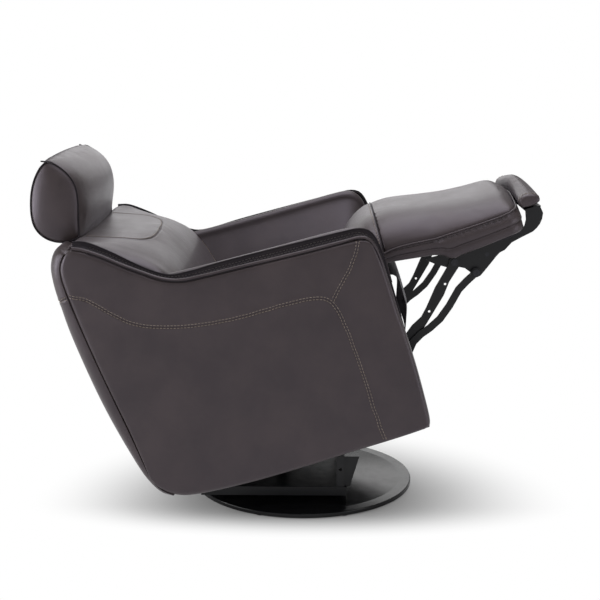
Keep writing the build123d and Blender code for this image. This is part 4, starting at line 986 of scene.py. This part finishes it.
# the flange's line, from one rear corner round the front to the other
rim_points = [Vector((-rest_half, y, 0))
              for y in (-0.369, -0.42, -0.48, -0.54, -0.60, -0.65, -0.69)]
for i in range(9):
    turn = pi / 2 * i / 8
    rim_points.append(Vector((-rest_half + front_corner * (1 - cos(turn)),
                              rest_front + front_corner * (1 - sin(turn)), 0)))
rim_points += [Vector((x, rest_front, 0)) for x in (-0.19, -0.13, -0.06, 0)]
rim = spline([bowed(p) for p in carried_across(rim_points)], 240)
skirt_rows = []
flange_line = []
for i, (p, along) in enumerate(zip(rim, headings(rim))):
    out = along.cross(Vector((0, 0, 1))).normalized()
    if out.dot(Vector((p.x, p.y + 0.55, 0))) < 0:
        out = -out
    high, low = level(rest_seam, p.y) + p.z, level(skirt_foot, p.y)
    crease = low + 0.42 * (high - low)
    pucker = 0.0013 * sin(i * 1.9)      # small pulls where the hide is gathered into the flange
    spread = flare * max(0, -out.y)
    flange_line.append(Vector((p.x, p.y, high)) + out * 0.0015)
    section = [(-0.004, high + 0.001), (0.0002, high - 0.003),
               (0.0015 + pucker + 0.2 * spread, high - 0.010),
               (0.0045 + 0.5 * spread, high - 0.4 * (high - crease)),
               (0.0055 + 0.8 * spread, crease + 0.006), (0.0035 + 0.85 * spread, crease + 0.0015),
               (0.0010 + 0.85 * spread, crease), (0.0030 + 0.9 * spread, crease - 0.003),
               (0.003 + spread, low + 0.004), (-0.001 + spread, low), (-0.030, low + 0.001)]
    skirt_rows.append([Vector((p.x, p.y, z)) + out * offset for offset, z in section])
skirt = skin_through("footrest_skirt", skirt_rows)
hide = skirt.modifiers.new("hide", "SOLIDIFY")
hide.thickness = 0.002
hide.offset = 0
apply_modifiers(skirt)
faced_out(skirt, 60)
lean_back(rest_pad)
lean_back(skirt)
dress(rest_pad, cowhide, "footrest", "leather_cushion", "footrest_cushion")
dress(skirt, cowhide, "footrest", "leather_skin", "footrest_cushion", "footrest_board")

# the board under the skirt, bevelled beneath towards the seat and covered with lining cloth
lining_rows = []
for y in [-0.372 - 0.0095 * i for i in range(39)] + [-0.744]:
    low = level(skirt_foot, y) + 0.0008 - 0.006 * min(1, max(0, (-0.64 - y) / 0.05))
    half = rest_half - 0.002 if y > -0.72 else rest_half - 0.002 - 0.6 * (-0.72 - y)
    corners = [(-half, low), (half, low), (half, low + 0.012), (-half, low + 0.012), (-half, low)]
    lining_rows.append([Vector((x, y, z)) for x, z in corners])
rest_lining = closed_tube("footrest_board_lining", lining_rows, 40)
lean_back(rest_lining)
lining_cloth = leather("black_lining_cloth", "#121213", "#1a1a1b", 0.8)
dress(rest_lining, lining_cloth, "footrest", "lining_cloth", "footrest_board")

# the flange's cord and its row of stitches, in thread darkened as painted shade under the flange,
# and a thin cord in the joint with the bridge
flange_cord = 0.0022
joint_cord = 0.0014
joint_y = -0.3695
joint_low, joint_rise = 0.5735, 0.0945
piping("footrest_flange", flange_line[::4], flange_cord, "footrest")
joint_row = [Vector((rest_half * sin(share * pi / 2), joint_y,
                     joint_low + joint_rise * crowned(share)))
             for share in (k / 20 for k in range(-19, 20))]
# the joint cord is in the near-black hide: painted shade in the joint with the bridge
piping("footrest_joint_cord", joint_row, joint_cord, "footrest", shade_painted_cowhide)
below_flange = [p - Vector((0, 0, 0.007)) for p in flange_line[::4]]
stitched("footrest_skirt_stitches", skirt, below_flange, (0,), "footrest", painted_shade_thread)

# ------------------------ foot pad
# A small padded roll, folded flat at its ends, on the plate that flips out in front of the
# footrest.

roll_middle = [(-0.770, 0.590), (-0.7675, 0.604), (-0.7675, 0.620), (-0.770, 0.637),
               (-0.777, 0.648), (-0.786, 0.651), (-0.797, 0.645), (-0.811, 0.629),
               (-0.824, 0.606), (-0.817, 0.592), (-0.795, 0.588), (-0.770, 0.590)]
roll_end = [(-0.757, 0.592), (-0.756, 0.602), (-0.758, 0.612), (-0.765, 0.619),
            (-0.776, 0.622), (-0.792, 0.6205), (-0.806, 0.616), (-0.814, 0.608),
            (-0.8155, 0.599), (-0.808, 0.5925), (-0.780, 0.589), (-0.757, 0.592)]
roll_lines = [profile(line, 56) for line in (roll_middle, roll_end)]
roll_centre = Vector((0, -0.787, 0.605))
roll_half = 0.238
roll_rows = []
for share, size in ((1, 0.0), (1, 0.5), (0.998, 0.78), (0.990, 0.90), (0.976, 0.97), (0.955, 1.0),
                    (0.9, 1.0), (0.82, 1.0), (0.7, 1.0), (0.5, 1.0), (0.25, 1.0), (0, 1.0)):
    thin = share ** 1.35
    aside = Vector((-roll_half * share, 0, 0))
    roll_rows.append([roll_centre.lerp(full.lerp(end, thin), size) + aside
                      for full, end in zip(*roll_lines)])
roll_rows += [[Vector((-p.x, p.y, p.z)) for p in row] for row in reversed(roll_rows[:-1])]
foot_roll = closed_tube("foot_roll", roll_rows, 60)
stuffed(foot_roll, 2.0, 0.0015, voxel=0.004)
lean_back(foot_roll)
dress(foot_roll, cowhide, "flipper", "leather_cushion", "foot_pad")
for side, name in sides:
    fold = [p + Vector((side * roll_half * 0.93, 0, 0)) for p in roll_lines[1][6:40:3]]
    stitched(f"foot_pad_stitches_{name}", foot_roll, fold, (0,), "flipper")

# ------------------------ headrest
# A foam bolster in leather: a band of hide round it, a domed panel at each end and a back
# panel, joined by piped seams. It turns forward on a pin held by two hinges on the top rail.

cap_outline = [(0.418, 0.836), (0.445, 0.833), (0.470, 0.836), (0.501, 0.852), (0.522, 0.880),
               (0.527, 0.912), (0.518, 0.955), (0.500, 0.998), (0.476, 1.031), (0.446, 1.054),
               (0.430, 1.049), (0.409, 1.029), (0.392, 0.999), (0.386, 0.968), (0.391, 0.932),
               (0.404, 0.885), (0.418, 0.836)]
cap_line = profile(cap_outline, 97)
cap_centre = Vector((0, 0.455, 0.945))
cap_half = 0.264
cord_round = 0.0021
bands = [(0.0, 0.280, 0), (0.25, 0.280, 0), (0.5, 0.278, 0), (0.75, 0.274, 0), (0.93, 0.269, 0),
         (1.0, 0.264, 0), (1.0, 0.262, 0.08), (1.0, 0.250, 0.3), (1.0, 0.225, 0.52),
         (1.0, 0.18, 0.74), (1.0, 0.12, 0.9), (1.0, 0.06, 0.98), (1.0, 0.0, 1.0)]
head_rows = []
for side, chosen in ((-1, bands), (1, bands[-2::-1])):
    for size, x, fullness in chosen:
        row = []
        for p in cap_line:
            out = (p - cap_centre).normalized()
            crown = 0.013 + 0.018 * max(0, -out.y) ** 1.5
            row.append(cap_centre.lerp(p, size) + out * crown * fullness + Vector((side * x, 0, 0)))
        head_rows.append(row)
head_pad = closed_tube("headrest_pad", head_rows, 180)
rounded = head_pad.modifiers.new("rounded", "SUBSURF")
rounded.levels = rounded.render_levels = 1
apply_modifiers(head_pad)
bpy.ops.object.shade_smooth()
stuffed(head_pad, 3.0, 0.004, lambda p: abs(abs(p.x) - cap_half) / 0.04)
head_skin = surface_of(head_pad)
back_piping = [head_skin.find_nearest(Vector((cap_half * (i / 12 - 1), 0.452, 1.080)))[0]
               for i in range(25)]
back_piping = [Vector((-0.271, 0.453, 1.060)), *back_piping, Vector((0.271, 0.453, 1.060))]
lean_back(head_pad)
dress(head_pad, cowhide, "headrest", "leather_cushion", "headrest_cushion")
# the headrest's pipings are in the near-black hide: painted shade along its seams
for side, name in sides:
    ring = [p + Vector((side * (cap_half + 0.001), 0, 0)) for p in cap_line[::4]]
    piping(f"headrest_piping_{name}", ring, cord_round, "headrest", shade_painted_cowhide)
piping("headrest_back_piping", back_piping, cord_round, "headrest", shade_painted_cowhide)

# ------------------------ front flap
# A flap of black coated cloth over a stiffener hangs from the front of the seat and hides the
# mechanism from in front.

flap_half = 0.205
flap_line = [(-0.352, 0.499), (-0.372, 0.501), (-0.386, 0.497), (-0.394, 0.480),
             (-0.396, 0.430), (-0.395, 0.400), (-0.384, 0.363), (-0.374, 0.334)]
coated_cloth = leather("black_coated_cloth", "#0c0d0c", "#141513", 0.5)
flap_rows = []
for p in profile(flap_line, 40):
    flap_rows.append([Vector((flap_half * k / 20, p.y + 0.006 * (k / 20) ** 4, p.z))
                      for k in range(-20, 21)])
flap = skin_through("front_flap_cloth", flap_rows)
cloth = flap.modifiers.new("cloth", "SOLIDIFY")
cloth.thickness = 0.0025
apply_modifiers(flap)
faced_out(flap)
lean_back(flap)
dress(flap, coated_cloth, "seat_body", "leather_skin", "front_flap")

# ------------------------ studio
# The chair stands on a white sweep, seen from its right side from a little above the arms. A
# broad softbox overhead and paler ones round it light the leather.

eye = Vector((-3.557, -0.047, 1.310))
pitch = radians(11.93)
pan = radians(0.92)
bpy.ops.object.camera_add(location=eye)
camera = bpy.context.object
camera.name = "camera"
camera.data.lens = 73.74
camera.data.sensor_width = 36
aim = Vector((cos(pan) * cos(pitch), sin(pan) * cos(pitch), -sin(pitch)))
camera.rotation_euler = aim.to_track_quat("-Z", "Y").to_euler()
bpy.context.scene.camera = camera
bpy.context.scene.view_settings.view_transform = "Standard"

bpy.ops.mesh.primitive_plane_add(size=40, location=(0, 0, 0))
floor = bpy.context.object
floor.name = "floor"
sweep, floor_place = new_material("studio_sweep")
# the sweep burns out to white, but for a soft pool of painted shade round the chair, a darker grey
# paper with a faint glow, that reaches further beyond the chair than before it
paper = add_node(sweep, "ShaderNodeBsdfDiffuse", {"Color": linear("#f4f4f4")})
# painted shade: the pool round the chair is this darker grey paper, as the camera and mirrors see
# it
painted_shade_paper = add_node(sweep, "ShaderNodeBsdfDiffuse", {"Color": linear("#b4b4b4")})
pool = add_node(sweep, "ShaderNodeSeparateXYZ", {"Vector": floor_place})
beyond_pool = add_node(sweep, "ShaderNodeMapRange", {
    "Value": pool.outputs["X"], "From Min": -0.2, "From Max": 0.8, "To Min": 0.0, "To Max": 1.1},
    clamp=False)
before_pool = add_node(sweep, "ShaderNodeMapRange", {
    "Value": pool.outputs["X"], "From Min": -0.2, "From Max": -1.2, "To Min": 0.0, "To Max": 3.0},
    clamp=False)
out_of_pool = add_node(sweep, "ShaderNodeMath", {
    0: beyond_pool, 1: before_pool}, operation="MAXIMUM")
pool_place = add_node(sweep, "ShaderNodeCombineXYZ", {"X": out_of_pool, "Y": pool.outputs["Y"]})
away = add_node(sweep, "ShaderNodeVectorMath", {0: pool_place}, operation="LENGTH")
far_off = add_node(sweep, "ShaderNodeMapRange", {
    "Value": away.outputs["Value"], "From Min": 0.25, "From Max": 0.80},
    interpolation_type="SMOOTHSTEP")
near_glow = add_node(sweep, "ShaderNodeEmission", {"Color": (1, 1, 1, 1), "Strength": 0.08})
painted_shade_pool = add_node(sweep, "ShaderNodeAddShader", {0: painted_shade_paper, 1: near_glow})
white = add_node(sweep, "ShaderNodeEmission", {"Color": (1, 1, 1, 1), "Strength": 1.0})
shown = add_node(sweep, "ShaderNodeMixShader", {0: far_off, 1: painted_shade_pool, 2: white})
ray = add_node(sweep, "ShaderNodeLightPath")
mirrored_or_seen = add_node(sweep, "ShaderNodeMath", {
    0: ray.outputs["Is Camera Ray"], 1: ray.outputs["Is Glossy Ray"]}, operation="MAXIMUM")
seen = add_node(sweep, "ShaderNodeMixShader", {0: mirrored_or_seen, 1: paper, 2: shown})
add_node(sweep, "ShaderNodeOutputMaterial", {"Surface": seen})
floor.data.materials.append(sweep)

world = bpy.data.worlds.new("studio")
bpy.context.scene.world = world
world.use_nodes = True
world.node_tree.nodes.clear()
room = add_node(world, "ShaderNodeBackground", {"Color": (1, 1, 1, 1), "Strength": 0.34})
backdrop = add_node(world, "ShaderNodeBackground", {"Color": (1, 1, 1, 1), "Strength": 1.0})
world_ray = add_node(world, "ShaderNodeLightPath")
clear_ray = add_node(world, "ShaderNodeMath", {
    0: world_ray.outputs["Is Camera Ray"], 1: world_ray.outputs["Is Transmission Ray"]},
    operation="MAXIMUM")
lit_room = add_node(world, "ShaderNodeMixShader", {0: clear_ray, 1: room, 2: backdrop})
add_node(world, "ShaderNodeOutputWorld", {"Surface": lit_room})

softboxes = (
    ("overhead", (0.2, 0.1, 3.2), (0, 0, 0.4), 2.8, 84),
    ("near_upper", (-2.2, -0.8, 3.4), (0, 0, 0.5), 2.0, 28),
    ("rear", (-1.2, 3.4, 0.7), (0, 0.4, 0.6), 2.4, 125),
    ("front_right", (-2.2, -3.2, 0.9), (0, -0.5, 0.6), 1.6, 30),
    ("behind", (3.4, 0.2, 2.2), (0, 0, 0.8), 2.4, 26),
)
for light_name, place, target, size, power in softboxes:
    bpy.ops.object.light_add(type="AREA", location=place)
    softbox = bpy.context.object
    softbox.name = light_name
    softbox.data.size = size
    softbox.data.energy = power
    softbox.rotation_euler = (Vector(target) - Vector(place)).to_track_quat("-Z", "Y").to_euler()
